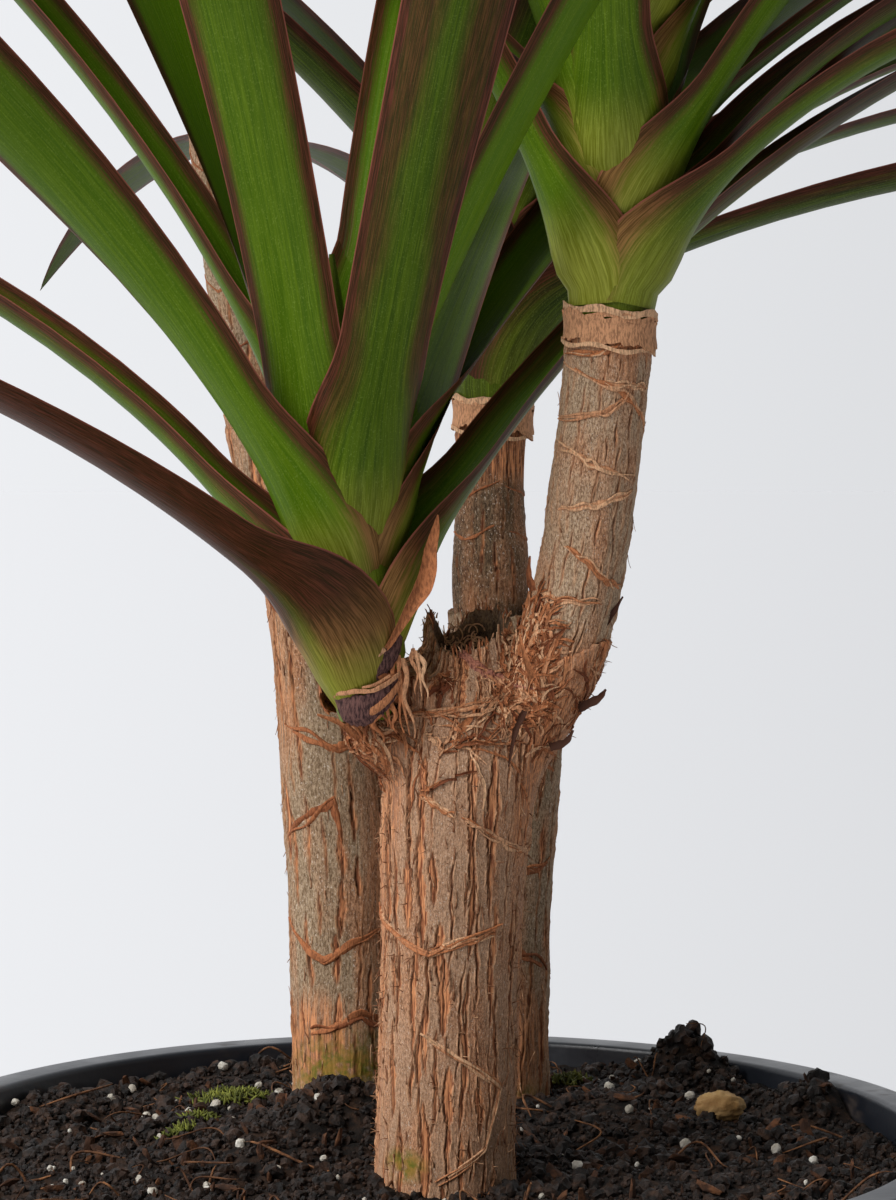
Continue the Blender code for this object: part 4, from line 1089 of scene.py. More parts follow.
# Shreds at the fork
# Old leaf bases dried on the stem: orange-brown fibres that lie tangled round the fork, torn
# flakes, a curled dry leaf and the stumps of sheaths under the left head. Each is a thin ribbon.
TANGLES = (
    # count, turns from the front or places across it, heights, length, lift, narrowest, widest and
    # share that runs across
    (230, (-112, -30), (0.2440, 0.2600), 0.010, 0.0006, 0.00022, 0.0009, 0.25),
    (50, (-75, -20), (0.2560, 0.2620), 0.012, 0.0010, 0.00030, 0.0010, 0.55),
    (30, (-40, 10), (0.2590, 0.2620), 0.018, 0.0006, 0.00025, 0.0007, 0.90),
    (70, (-46, -12), (0.2590, 0.2710), 0.009, 0.0005, 0.0004, 0.0014, 0.05),
    (110, (0.0178, 0.0236), (0.2680, 0.2790), 0.007, 0.0005, 0.00022, 0.0009, 0.15),
    (130, (0.0142, 0.0238), (0.2585, 0.2690), 0.008, 0.0005, 0.00022, 0.0009, 0.20),
    (54, (0.0150, 0.0236), (0.2580, 0.2740), 0.007, 0.0004, 0.0007, 0.0015, 0.10),
    (54, (0.0148, 0.0225), (0.2500, 0.2590), 0.009, 0.0004, 0.00022, 0.0009, 0.08),
    (30, (66, 112), (0.2500, 0.2640), 0.009, 0.0003, 0.00025, 0.0009, 0.10),
    (60, (120, 245), (0.2480, 0.2680), 0.016, 0.0009, 0.0003, 0.0012, 0.30),
)
FIBRE_STEPS = 14
FORK_MIDDLE = (0.010, -0.030)
FORK_ROOM = 0.03


def tangle(skin, row, random):
    """Ribbons that wander over a surface, each in a heading of its own."""
    count, reach, heights, length, lift, narrowest, widest, level_share = row
    made = []
    for _ in range(count):
        place, height = random.uniform(*reach), random.uniform(*heights)
        turn = math.radians(270 + place)
        spot = polar(FORK_ROOM, turn, height, FORK_MIDDLE)
        if reach[1] - reach[0] < 0.1:
            spot = skin.ray_cast(Vector((place, -0.08, height)), Vector((0.0, 1.0, 0.0)))[0]
            if spot is None:
                continue
        heading = random.normal(0.2, 0.5) if random.rand() < level_share else random.normal(1.57, 0.45)
        span = length * random.uniform(0.35, 1.25)
        rise = lift * random.uniform(0.15, 1.0)
        drift = random.normal(0, 0.09)
        course, faces_out = [], []
        for step in range(FIBRE_STEPS):
            hit, normal, _, _ = skin.find_nearest(Vector(spot))
            normal = np.array(normal)
            level = unit(np.cross(UPRIGHT, normal))
            upward = np.cross(normal, level)
            t = step / (FIBRE_STEPS - 1)
            loft = rise * (0.20 + math.sin(math.pi * t) * 0.8 + (t ** 3) * random.uniform(0.3, 1.1))
            course.append(np.array(hit) + normal * loft)
            faces_out.append(normal + 0.6 * upward * math.sin(6 * t + heading))
            heading += drift + random.normal(0, 0.08)
            ahead = math.cos(heading) * level + math.sin(heading) * upward
            spot = np.array(hit) + span / FIBRE_STEPS * ahead
        across = random.uniform(narrowest, widest)
        widths = across * (0.2 + 0.8 * np.sin(np.pi * np.linspace(0.08, 0.97, FIBRE_STEPS)))
        widths = widths * (1 + 0.2 * np.sin(np.arange(FIBRE_STEPS) * 1.9))
        made.append(ribbon(course, faces_out, widths, 0.00016, random.uniform(0.3, 1.3)))
    return made


fork_skin = surface_tree(front_cane, front_right_branch)
random = np.random.RandomState(21)
fibres = [shape for row in TANGLES for shape in tangle(fork_skin, row, random)]
# Splinters that stand on the rim of the cut, and pale curled fibres in its hollow
RIM_REACH = 0.0076
RIM_SPLINTERS = 60
HOLLOW = ((0.0050, 0.0112), (-0.0265, -0.0205), (0.2700, 0.2742))
HOLLOW_FIBRES = 26
rim_turns = np.radians([spot[0] for spot in FRONT_RIM])
for _ in range(RIM_SPLINTERS):
    turn = random.uniform(0, 2 * math.pi)
    reach = RIM_REACH + random.uniform(-0.0008, 0.0004)
    level = np.interp(turn, rim_turns, [spot[1] for spot in FRONT_RIM], period=2 * math.pi) - 0.0008
    outward = polar(1.0, turn, 0.0)
    tall = random.uniform(0.0008, 0.0026)
    lean = random.uniform(-0.3, 0.5) * outward + random.uniform(-0.4, 0.4) * np.cross(UPRIGHT, outward)
    t = np.linspace(0, 1, 5)[:, None]
    course = polar(reach, turn, level, FRONT_CANE_PATH[-1]) + t * tall * np.array(UPRIGHT)
    course = course + t ** 2 * tall * lean
    widths = random.uniform(0.0003, 0.0009) * (1 - 0.8 * t[:, 0])
    fibres.append(ribbon(course, [outward] * 5, widths, 0.00016, 0.6))
for _ in range(HOLLOW_FIBRES):
    centre = np.array([random.uniform(*span) for span in HOLLOW])
    start, sweep, bend = random.uniform(0, 6.3), random.uniform(1.5, 4.0), random.uniform(0.0006, 0.0016)
    arc = start + np.linspace(0, sweep, 10)
    course = centre + np.stack([bend * np.cos(arc), 0.4 * bend * np.sin(arc), bend * np.sin(arc)], axis=1)
    fibres.append(ribbon(course, [(0.2, -1.0, 0.3)] * 10, [0.00026] * 10, 0.00012, 0.5))
fibre_tones = [random.rand() for _ in fibres[:-HOLLOW_FIBRES]] + [0.85] * HOLLOW_FIBRES
seat(joined("fork_fibres", fibres, dry_shred, fibre_tones), "bark")

# Places on the plant in metres from root to tip, then root width, tip width, tone and bow
FLAKES = (
    (((0.0290, -0.034, 0.2600), (0.0326, -0.035, 0.2618), (0.0340, -0.036, 0.2636)),
     0.0020, 0.0012, -0.4, 0.6),
    (((0.0322, -0.033, 0.2745), (0.0348, -0.034, 0.2768), (0.0372, -0.034, 0.2806)),
     0.0018, 0.0009, -0.4, 0.6),
    (((0.0238, -0.036, 0.2530), (0.0266, -0.037, 0.2540), (0.0280, -0.037, 0.2562)),
     0.0018, 0.0010, -0.4, 0.6),
    (((0.0206, -0.036, 0.2818), (0.0198, -0.037, 0.2848), (0.0200, -0.037, 0.2882)),
     0.0018, 0.0008, 0.20, 0.9),
    (((-0.0110, -0.0415, 0.2546), (-0.0136, -0.0440, 0.2572), (-0.0154, -0.0448, 0.2585),
      (-0.0172, -0.0450, 0.2591), (-0.0187, -0.0450, 0.2597)), 0.0012, 0.0010, 0.55, 0.9),
    (((0.0190, -0.041, 0.2600), (0.0172, -0.0425, 0.2560), (0.0160, -0.0425, 0.2500)),
     0.0015, 0.0008, -0.4, 0.9),
    (((0.0205, -0.040, 0.2660), (0.0190, -0.0420, 0.2700), (0.0180, -0.0415, 0.2740)),
     0.0016, 0.0008, 0.55, 0.9),
    (((-0.0040, -0.0440, 0.2704), (-0.0037, -0.0452, 0.2659), (-0.0030, -0.0452, 0.2614),
      (-0.0019, -0.0446, 0.2560)), 0.0024, 0.0012, 0.62, -0.7),
    (((-0.0058, -0.0452, 0.2640), (-0.0060, -0.0456, 0.2608), (-0.0052, -0.0446, 0.2570)),
     0.0026, 0.0014, 0.35, -0.7),
    (((-0.0088, -0.0460, 0.2622), (-0.0092, -0.0456, 0.2590), (-0.0080, -0.0440, 0.2552)),
     0.0030, 0.0014, 0.25, -0.7),
    (((-0.0122, -0.0444, 0.2606), (-0.0118, -0.0440, 0.2578), (-0.0100, -0.0424, 0.2545)),
     0.0026, 0.0014, 0.40, -0.7),
    (((-0.0010, -0.0432, 0.2712), (-0.0002, -0.0445, 0.2678), (0.0002, -0.0446, 0.2630)),
     0.0022, 0.0010, 0.80, -0.7),
)
# The straps under the left head, bowed the other way, are frayed into three strands each
WHOLE = ((0.0, 0.0, 1.0),)
FRAYED = ((-0.36, 0.0004, 0.46), (0.0, 0.0, 0.42), (0.38, -0.0006, 0.50))
FLAKE_STEPS = 18
flakes, flake_tones = [], []
for k, (course, wide, narrow, tone, bow) in enumerate(FLAKES):
    for side, longer, share in FRAYED if bow < 0 else WHOLE:
        step = np.arange(FLAKE_STEPS)
        line = spline(course, FLAKE_STEPS)
        line[:, 0] += side * wide * (1 + 0.5 * np.sin(step * 0.6 + 3 * k + 9 * side))
        line[:, 2] += longer
        facing = np.array((0.15 * math.sin(k * 2.1 + side), -1.0, 0.25))
        facing = facing + np.outer(np.linspace(-0.4, 0.5, FLAKE_STEPS), (0.3, 0.2, 0.6))
        ragged = 0.3 + 0.7 * np.sin(np.pi * np.linspace(0.30, 0.97, FLAKE_STEPS))
        ragged = ragged * (1 + 0.12 * np.sin(step * 1.1 + k))
        widths = share * np.linspace(wide, narrow, FLAKE_STEPS) * ragged
        flakes.append(ribbon(line, facing, widths, 0.00025, bow, 6))
        flake_tones.append(tone + 0.3 * side)
# The curled dry leaf that stands up between the left head and the cut
leaf_line = spline(((-0.0106, -0.0452, 0.2702), (-0.0066, -0.0460, 0.2715), (-0.0040, -0.0458, 0.2753),
                    (-0.0017, -0.0446, 0.2793), (0.0003, -0.0436, 0.2825), (0.0014, -0.0428, 0.2858),
                    (0.0019, -0.0424, 0.2894), (0.0028, -0.0422, 0.2930), (0.0032, -0.0420, 0.2958)), 44)
turned = np.linspace(0.9, -0.35, 44)
leaf_face = np.stack([np.sin(turned), -np.cos(turned), 0.25 + 0 * turned], axis=1)
leaf_widths = np.interp(np.linspace(0, 8, 44), range(9),
                        (0.0005, 0.0010, 0.0016, 0.0026, 0.0037, 0.0034, 0.0026, 0.0017, 0.0003))
flakes.append(ribbon(leaf_line, leaf_face, leaf_widths, 0.00022, 0.75, 9))
flake_tones.append(0.36)
# Torn stumps of dry sheaths round the left head's foot: a plum one in front, each with a pale edge.
# Each row gives the line of its rim, its widths along it and its tone.
STUMPS = (
    (((-0.0137, -0.0430, 0.2646), (-0.0125, -0.0445, 0.2667), (-0.0112, -0.0452, 0.2682),
      (-0.0087, -0.0462, 0.2680), (-0.0064, -0.0460, 0.2695), (-0.0044, -0.0450, 0.2718),
      (-0.0035, -0.0436, 0.2739)), (0.0006, 0.0038, 0.0058, 0.0046, 0.0044, 0.0030, 0.0012), 1.8),
    (((-0.0155, -0.0425, 0.2628), (-0.0136, -0.0446, 0.2608), (-0.0120, -0.0456, 0.2604),
      (-0.0098, -0.0464, 0.2606), (-0.0072, -0.0466, 0.2622), (-0.0051, -0.0460, 0.2640),
      (-0.0037, -0.0448, 0.2660)), (0.0010, 0.0050, 0.0060, 0.0058, 0.0046, 0.0032, 0.0020), 1.8),
    (((-0.0138, -0.0432, 0.2640), (-0.0127, -0.0450, 0.2681), (-0.0112, -0.0456, 0.2711),
      (-0.0101, -0.0464, 0.2704), (-0.0089, -0.0468, 0.2702), (-0.0076, -0.0470, 0.2706),
      (-0.0064, -0.0466, 0.2717)), (0.0004, 0.0007, 0.0009, 0.0007, 0.0008, 0.0007, 0.0010), 0.80),
    (((-0.0157, -0.0427, 0.2627), (-0.0153, -0.0440, 0.2635), (-0.0136, -0.0454, 0.2636),
      (-0.0119, -0.0464, 0.2640), (-0.0090, -0.0472, 0.2641), (-0.0072, -0.0474, 0.2648),
      (-0.0053, -0.0468, 0.2659), (-0.0037, -0.0454, 0.2672)),
     (0.0005, 0.0010, 0.0008, 0.0009, 0.0007, 0.0009, 0.0008, 0.0008), 0.72),
    (((-0.0105, -0.0466, 0.2647), (-0.0081, -0.0472, 0.2653), (-0.0054, -0.0468, 0.2669)),
     (0.0004, 0.0006, 0.0005), 0.70),
    (((-0.0132, -0.0440, 0.2592), (-0.0095, -0.0462, 0.2600), (-0.0062, -0.0468, 0.2622),
      (-0.0036, -0.0456, 0.2655)), (0.0010, 0.0016, 0.0014, 0.0010), 0.60),
)
STUMP_MIDDLE = (-0.0102, -0.0372, 0.0)
STUMP_STEPS = 34
for line, widths, tone in STUMPS:
    course = spline(line, STUMP_STEPS)
    facing = course - STUMP_MIDDLE
    facing[:, 2] = -0.0012
    across = np.interp(np.linspace(0, 1, STUMP_STEPS), np.linspace(0, 1, len(widths)), widths)
    torn = 1 + 0.07 * np.sin(np.arange(STUMP_STEPS) * 2.3)
    flakes.append(ribbon(course, facing, across * torn, 0.0003, -0.4, 6))
    flake_tones.append(tone)
# The same round its back, where broad stumps overlap: turns, height, how tall, reach and tone
for start, end, level, tall, reach, tone in ((10, 120, 0.2624, 0.0060, 0.0078, 0.35),
                                             (100, 185, 0.2616, 0.0058, 0.0080, 0.45),
                                             (300, 375, 0.2640, 0.0062, 0.0078, 0.30)):
    arc = np.radians(np.linspace(start, end, 26))
    bite = 0.0011 * np.sin(np.arange(26) * 1.7) + 0.0007 * np.sin(np.arange(26) * 4.1)
    line = polar(reach, arc, level + bite / 2, FRONT_LEFT_COLLAR.seat)
    flakes.append(ribbon(line, polar(1.0, arc, -0.35), tall + bite, 0.0003, -0.5, 6))
    flake_tones.append(tone)
seat(joined("fork_flakes", flakes, dry_shred, flake_tones), "bark")

# A plum band of old skin that runs from the cut down to the right collar
plum_skin, tree, shader = new_finish("plum_skin", 0.6, 0.25)
streak = pattern(tree, 2300.0, 900.0, 0.7)
paint(tree, shader, mix_colour(tree, ramp(tree, streak, 0.36, 0.60), shade(92, 44, 36), shade(178, 116, 92)))
bump(tree, shader, streak, 0.00015)
random = np.random.RandomState(23)
plum_centres = path_with_radii(FRONT_CANE_PATH, FRONT_CANE_RADII, STEM_STEPS)[0]
plum_marks = ((-22, 0.2704), (0, 0.2688), (18, 0.2668), (36, 0.2652), (52, 0.2640))
plum_band = [shape for width, strands in ((0.0021, 1), (0.0007, 3))
             for shape in scar_strands(fork_skin, plum_centres, plum_marks, width, strands, random)]
seat(joined("plum_band", plum_band, plum_skin, [0.5] * 4), "bark")

# Papery rings under the three upper heads, orange below and pale at the torn rim. Each row gives the
# height over the branch's end, how tall, how far off the bark, tone and slope.
RING_ROWS = ((-0.0014, 0.0052, 0.0004, 0.74, -0.0011), (0.0020, 0.0013, 0.0006, 0.95, -0.0010),
             (0.0009, 0.0009, 0.0005, 0.75, -0.0008), (-0.0046, 0.0008, 0.0006, 0.95, -0.0012))
rings_made, ring_tones = [], []
for (_, below, top), radius, shift in ((FRONT_RIGHT_BRANCH_END, 0.0080, 0.0),
                                       (REAR_RIGHT_BRANCH_END, 0.0078, 0.0010),
                                       (REAR_LEFT_BRANCH_END, 0.0074, 0.0)):
    for rise, tall, lift, tone, slope in RING_ROWS:
        arc = math.pi / 2 + np.linspace(0, 2 * math.pi, 64)
        level = top[2] + rise + shift
        middle = [np.interp(min(level, top[2]), (below[2], top[2]), (below[k], top[k])) for k in (0, 1)]
        wave = 0.0004 * np.sin(arc * 5 + level * 900) + slope * np.cos(arc + 0.5)
        line = polar(radius + lift, arc, level + wave, middle)
        ragged = tall * (1 + 0.15 * np.sin(arc * 9) + 0.10 * np.sin(arc * 23))
        rings_made.append(ribbon(line, polar(1.0, arc, 0.0), ragged, 0.0003, 0.2))
        ring_tones.append(tone)
seat(joined("papery_ring", rings_made, dry_shred, ring_tones), "bark")


# Leaf heads
# Each head is a tuft of strap leaves that clasp the stem with broad sheaths, then open, flatten and
# arch over: green, with maroon margins and fine lengthwise veins. The leaves grow by one rule,
# oldest lowest, after those that the front shows one by one; a leaf without room is left out.
LEAF_LENGTH = 0.38
LEAF_WIDTH = 0.022
LEAF_THICKNESS = 0.0042
LEAF_ROWS = (0.0, 0.016, 0.034, 0.060, 0.105, 0.170, 0.240, 0.305, 0.350)
SHEATH_WRAP = 66.0
SHEATH_START_ANGLE = 8.0
OPEN_LENGTH = 0.036
FLAT_LENGTH = 0.060
BEND_LENGTH = 0.090
COURSE_STEPS = 400
RULE_CUP = 48.0
ROOT_DEPTH = 0.0035
ROOT_LIFT = 0.0012
CLEARANCE = 0.0009
CANE_SIDES = 14
CANE_STEPS = 13
BRANCH_SIDES = 12
BRANCH_STEPS = 8
SHOWN_TRIES = ((0.0, 0.0),)
RULE_TRIES = ((0, 0), (9, 0), (-9, 0), (0, 6), (18, 0), (-18, 0), (9, 6), (-9, 6), (0, -6), (27, 3), (-27, 3))
GOLDEN_ANGLE = 137.5
CORE_HEIGHT = 0.085
CORE_PROFILE = ((0.0, 0.95), (0.03, 0.97), (0.06, 0.97), (0.14, 0.93), (0.26, 0.82), (0.45, 0.58),
                (0.72, 0.33), (1.0, 0.05))
CORE_LIFT = 0.0010
CORE_SIDES = 24
BLADE_THICKNESS = 0.00045
# Rows of a blade's foot, middle and tip
BLADE_ROWS = (20, 30, 8)
BLADE_COLUMNS = 11
BLADE_WRAP = 129.0
# Length over which a blade opens out of its sheath
BLADE_OPEN = {"front_right_head": 0.032}
BLADE_OPEN_USUAL = 0.046
# How far a sheath's foot is drawn in, for what height, and over what length it then swells
FOOT_PINCH = {"front_left_head": (0.50, 0.0, 0.015), "front_right_head": (0.22, 0.0036, 0.0042)}
FOOT_PINCH_USUAL = (0.14, 0.0, 0.006)
MAP_COLUMNS = 18

Leaf = namedtuple("Leaf", "rise azimuth spread bend roll cup length width")
Head = namedtuple("Head", "name base lean radius shown rule_count oldest first_azimuth closed_sector")

# Rise, azimuth, spread, bend, roll and cup of a shown leaf, then how maroon and how bright it is
FRONT_LEFT_SHOWN = (
    (0.000, 229, 48, 22, 11, 53, 1.65, 0.42),
    (0.006, 36, 34, 30, 12, 62, 0.60, 0.60),
    (0.005, 167, 18, 54, 1, 80, 0.50, 0.45),
    (0.026, 290, 34, 8, 24, 40, 0.75, 0.30),
    (0.018, 214, 18, 33, -40, 58, 0.10, 0.60),
    (0.019, 48, 25, 19, 24, 24, 0.40, 0.35),
    (0.039, 156, 15, 32, -2, 80, 0.30, 0.60),
    (0.024, 241, 0, 22, -15, 32, 0.35, 0.45),
    (0.034, 174, 0, 24, 38, 26, 0.00, 1.00),
    (0.044, 64, 12, 27, -12, 41, 0.15, 0.80),
)
FRONT_RIGHT_SHOWN = (
    (0.000, 354, 24, 66, 6, 56, 0.60, 0.30),
    (0.000, 196, 24, 18, 24, 74, 0.35, 0.50),
    (0.000, 47, 50, 14, 20, 62, 0.60, 0.20),
    (0.002, 26, 25, 54, 12, 74, 0.65, 0.20),
    (0.020, 254, 18, 14, -10, 50, 0.20, 0.35),
    (0.012, 345, 24, 23, 12, 56, 0.40, 0.50),
    (0.022, 203, 23, 4, 0, 50, 0.15, 0.45),
)
HEADS = (
    Head("front_left_head", (-0.0102, -0.0382, 0.2583), (-0.07, -0.02, 1.0), 0.0086,
         FRONT_LEFT_SHOWN, 24, 9, 100.0, (130.0, 355.0)),
    Head("front_right_head", (0.0350, -0.0300, 0.3315), (0.05, 0.0, 1.0), 0.0086,
         FRONT_RIGHT_SHOWN, 26, 0, 130.0, (170.0, 360.0)),
    Head("rear_right_head", (0.0144, 0.0450, 0.3153), (0.03, 0.04, 1.0), 0.0082,
         (), 30, 0, 200.0, (160.0, 202.0)),
    Head("rear_left_head", (-0.0475, 0.0340, 0.4383), (-0.09, 0.03, 1.0), 0.0078,
         (), 30, 0, 20.0, None),
)


def smooth_step(value):
    return step_between(value, 0.0, 1.0)


def limb_solid(path, radii, steps, sides, first_axis=None, last_axis=None):
    """Plain limb that a leaf has to keep clear of, each ring square to the path."""
    centres, sizes = path_with_radii(path, radii, steps)
    tangents = np.gradient(centres, axis=0)
    if first_axis:
        tangents[0] = first_axis
    if last_axis:
        tangents[-1] = last_axis
    rings = [centre + size * spokes(tangent, full_turn(sides))
             for centre, tangent, size in zip(centres, tangents, sizes)]
    return np.vstack(rings), tube_faces(steps, sides)


def leaf_course(head, leaf, shares, wrap, lift=0.0, flat_length=FLAT_LENGTH):
    """A leaf's course: per row its centre, side, inward direction, half arc and half width."""
    axis, across, forward = square_frame(head.lean)
    azimuth = math.radians(leaf.azimuth)
    out = math.cos(azimuth) * across + math.sin(azimuth) * forward
    fine = np.linspace(0.0, leaf.length, COURSE_STEPS)
    droop = 20.0 + 0.4 * leaf.spread
    opening = (leaf.spread - SHEATH_START_ANGLE) * smooth_step(fine / OPEN_LENGTH)
    angle = np.radians(SHEATH_START_ANGLE + opening + leaf.bend * (1 - np.exp(-fine / BEND_LENGTH))
                       + droop * (fine / leaf.length) ** 1.8)
    tangent = np.outer(np.sin(angle), out) + np.outer(np.cos(angle), axis)
    line = np.cumsum(tangent, axis=0) * (fine[1] - fine[0])
    start = np.array(head.base) + axis * (leaf.rise + ROOT_LIFT) + out * (head.radius + lift)
    rows = []
    for share in shares:
        i = int(round(share * (COURSE_STEPS - 1)))
        s = fine[i]
        inward = -math.cos(angle[i]) * out + math.sin(angle[i]) * axis
        side = np.cross(tangent[i], inward)
        roll = math.radians(leaf.roll) * smooth_step((s - 0.5 * OPEN_LENGTH) / (0.25 * leaf.length))
        side, inward = (math.cos(roll) * side + math.sin(roll) * inward,
                        math.cos(roll) * inward - math.sin(roll) * side)
        flat = smooth_step(s / flat_length)
        blade = 0.5 * leaf.width * (0.8 + 0.2 * smooth_step((s - FLAT_LENGTH) / (0.28 * leaf.length)))
        blade *= max(1.0 - share ** 2.6, 0.0) ** 0.8
        cup = math.radians(leaf.cup * (1 - 0.6 * share))
        half_arc = (1 - flat) * math.radians(wrap) + flat * cup
        half_width = (1 - flat) * (head.radius + lift) * math.radians(wrap) + flat * blade
        rows.append((start + line[i], side, inward, half_arc, half_width, share))
    return rows, out, start + line[-1], tangent[-1]


def leaf_solid(head, leaf, grow=0.0):
    """The leaf as a thick strap, to test which places are taken."""
    rows, out, end, tangent = leaf_course(head, leaf, [row / LEAF_LENGTH for row in LEAF_ROWS], SHEATH_WRAP)
    points = []
    for k, (centre, side, inward, half_arc, half_width, share) in enumerate(rows):
        bow = (half_width + grow) / half_arc
        rim, rise = bow * math.sin(half_arc), bow * (1 - math.cos(half_arc))
        if k == 0:
            centre = centre - out * ROOT_DEPTH
        thick = LEAF_THICKNESS * (1.0 - 0.55 * share)
        points += [centre - rim * side + rise * inward, centre - grow * inward,
                   centre + rim * side + rise * inward, centre + (thick + grow) * inward]
    faces = [(0, 1, 2, 3)]
    for low in range(0, 4 * (len(rows) - 1), 4):
        faces += [(low + (k + 1) % 4, low + k, low + 4 + k, low + 4 + (k + 1) % 4) for k in range(4)]
    last = 4 * (len(rows) - 1)
    faces += [(last + (k + 1) % 4, last + k, len(points)) for k in range(4)]
    return np.vstack((points, end + grow * tangent)), faces


def rule_leaves(head):
    """Leaves by phyllotaxis: oldest lowest and widest open, youngest highest and upright."""
    leaves = []
    for k in range(head.oldest, head.rule_count):
        age = 1.0 - k / (head.rule_count - 1)
        azimuth = (head.first_azimuth + GOLDEN_ANGLE * k) % 360.0
        sector = head.closed_sector
        if sector and sector[0] < azimuth < sector[1]:
            continue
        wave = math.sin(2.4 * k)
        length = LEAF_LENGTH * (0.9 + 0.16 * math.sin(math.pi * min(age + 0.15, 1.0)) + 0.04 * wave)
        leaf = Leaf(rise=0.062 * (1 - age) ** 1.1, azimuth=azimuth, spread=6 + 50 * age ** 0.9 + 3 * wave,
                    bend=6 + 22 * age, roll=10 * math.sin(1.7 * k), cup=RULE_CUP, length=length,
                    width=LEAF_WIDTH * (0.92 + 0.10 * math.sin(math.pi * age)))
        # Leaves of the heads at the back are darker: painted shade for where they stand behind the front
        # heads
        back_shade = 1.0 if head.shown else 0.35
        leaves.append((leaf, 0.35 + 0.3 * wave, back_shade * (0.85 - 0.6 * age + 0.15 * math.sin(5.1 * k))))
    return leaves


def solid_tree(solid):
    points, faces = solid
    return BVHTree.FromPolygons([tuple(map(float, point)) for point in points], faces)


limbs = [limb_solid(path, radii, CANE_STEPS, CANE_SIDES) for path, radii in (
    (FRONT_CANE_PATH, FRONT_CANE_RADII), (REAR_LEFT_CANE_PATH, REAR_LEFT_CANE_RADII),
    (REAR_RIGHT_CANE_PATH, REAR_RIGHT_CANE_RADII))]
limbs += [limb_solid(collar_path(collar), (collar.inner_radius, collar.seat_radius), COLLAR_STEPS,
                     BRANCH_SIDES, last_axis=collar.lean)
          for collar in (FRONT_LEFT_COLLAR, FRONT_RIGHT_COLLAR, REAR_LEFT_COLLAR, REAR_RIGHT_COLLAR)]
limbs += [limb_solid(branch_path(collar, end), radii, BRANCH_STEPS, BRANCH_SIDES, collar.lean, head.lean)
          for collar, end, radii, head in (
              (FRONT_RIGHT_COLLAR, FRONT_RIGHT_BRANCH_END, FRONT_RIGHT_BRANCH_RADII, HEADS[1]),
              (REAR_RIGHT_COLLAR, REAR_RIGHT_BRANCH_END, REAR_RIGHT_BRANCH_RADII, HEADS[2]),
              (REAR_LEFT_COLLAR, REAR_LEFT_BRANCH_END, REAR_LEFT_BRANCH_RADII, HEADS[3]))]
taken = [("limb", solid_tree(limb)) for limb in limbs]
grown = {head.name: [] for head in HEADS}
queue = [(head, Leaf(*row[:6], LEAF_LENGTH, LEAF_WIDTH), row[6], row[7], SHOWN_TRIES)
         for head in HEADS for row in head.shown]
for head in (HEADS[2], HEADS[3], HEADS[1], HEADS[0]):
    queue += [(head, leaf, maroon, bright, RULE_TRIES) for leaf, maroon, bright in rule_leaves(head)]
for head, leaf, maroon, bright, tries in queue:
    for turn, tilt in tries:
        trial = leaf._replace(azimuth=leaf.azimuth + turn, spread=leaf.spread + tilt)
        candidate = solid_tree(leaf_solid(head, trial, CLEARANCE))
        if not any(owner != head.name and candidate.overlap(tree) for owner, tree in taken):
            grown[head.name].append((trial, maroon, bright))
            taken.append((head.name, solid_tree(leaf_solid(head, trial))))
            break


def drawn_in(head, height):
    pinch, plain, length = FOOT_PINCH.get(head.name, FOOT_PINCH_USUAL)
    return pinch * (1 - min(max(height - plain, 0.0) / length, 1.0)) ** 1.6


def blade_rings(head, leaf, lift):
    """Rings round a thin leaf: its outer face from margin to margin, then its inner face back."""
    foot, middle, tip = BLADE_ROWS
    shares = np.concatenate([np.linspace(0.0, 0.16, foot, endpoint=False),
                             np.linspace(0.16, 0.94, middle, endpoint=False),
                             1 - 0.06 * np.linspace(1, 0.02, tip) ** 1.5])
    rows, out, _, _ = leaf_course(head, leaf, shares, BLADE_WRAP, lift,
                                  BLADE_OPEN.get(head.name, BLADE_OPEN_USUAL))
    t = np.linspace(-1, 1, BLADE_COLUMNS)
    t = np.sign(t) * (1 - (1 - np.abs(t)) ** 1.15)
    rings = []
    for centre, side, inward, half_arc, half_width, share in rows:
        drawn = drawn_in(head, share * leaf.length)
        centre = centre - out * drawn * (head.radius + lift)
        bow = max(half_width * (1 - drawn), 0.0001) / half_arc
        sweep = t * half_arc
        outer = centre + bow * (np.outer(np.sin(sweep), side) + np.outer(1 - np.cos(sweep), inward))
        thick = BLADE_THICKNESS * (1.35 - share) * (1 - np.abs(t) ** 2.5) * min(1.0, half_width / 0.004)
        normal = np.outer(np.cos(sweep), inward) - np.outer(np.sin(sweep), side)
        inner = outer + normal * thick[:, None]
        rings.append(np.vstack((outer, inner[-2:0:-1])))
    across = np.concatenate((t, t[-2:0:-1]))
    return np.array(rings), across, shares


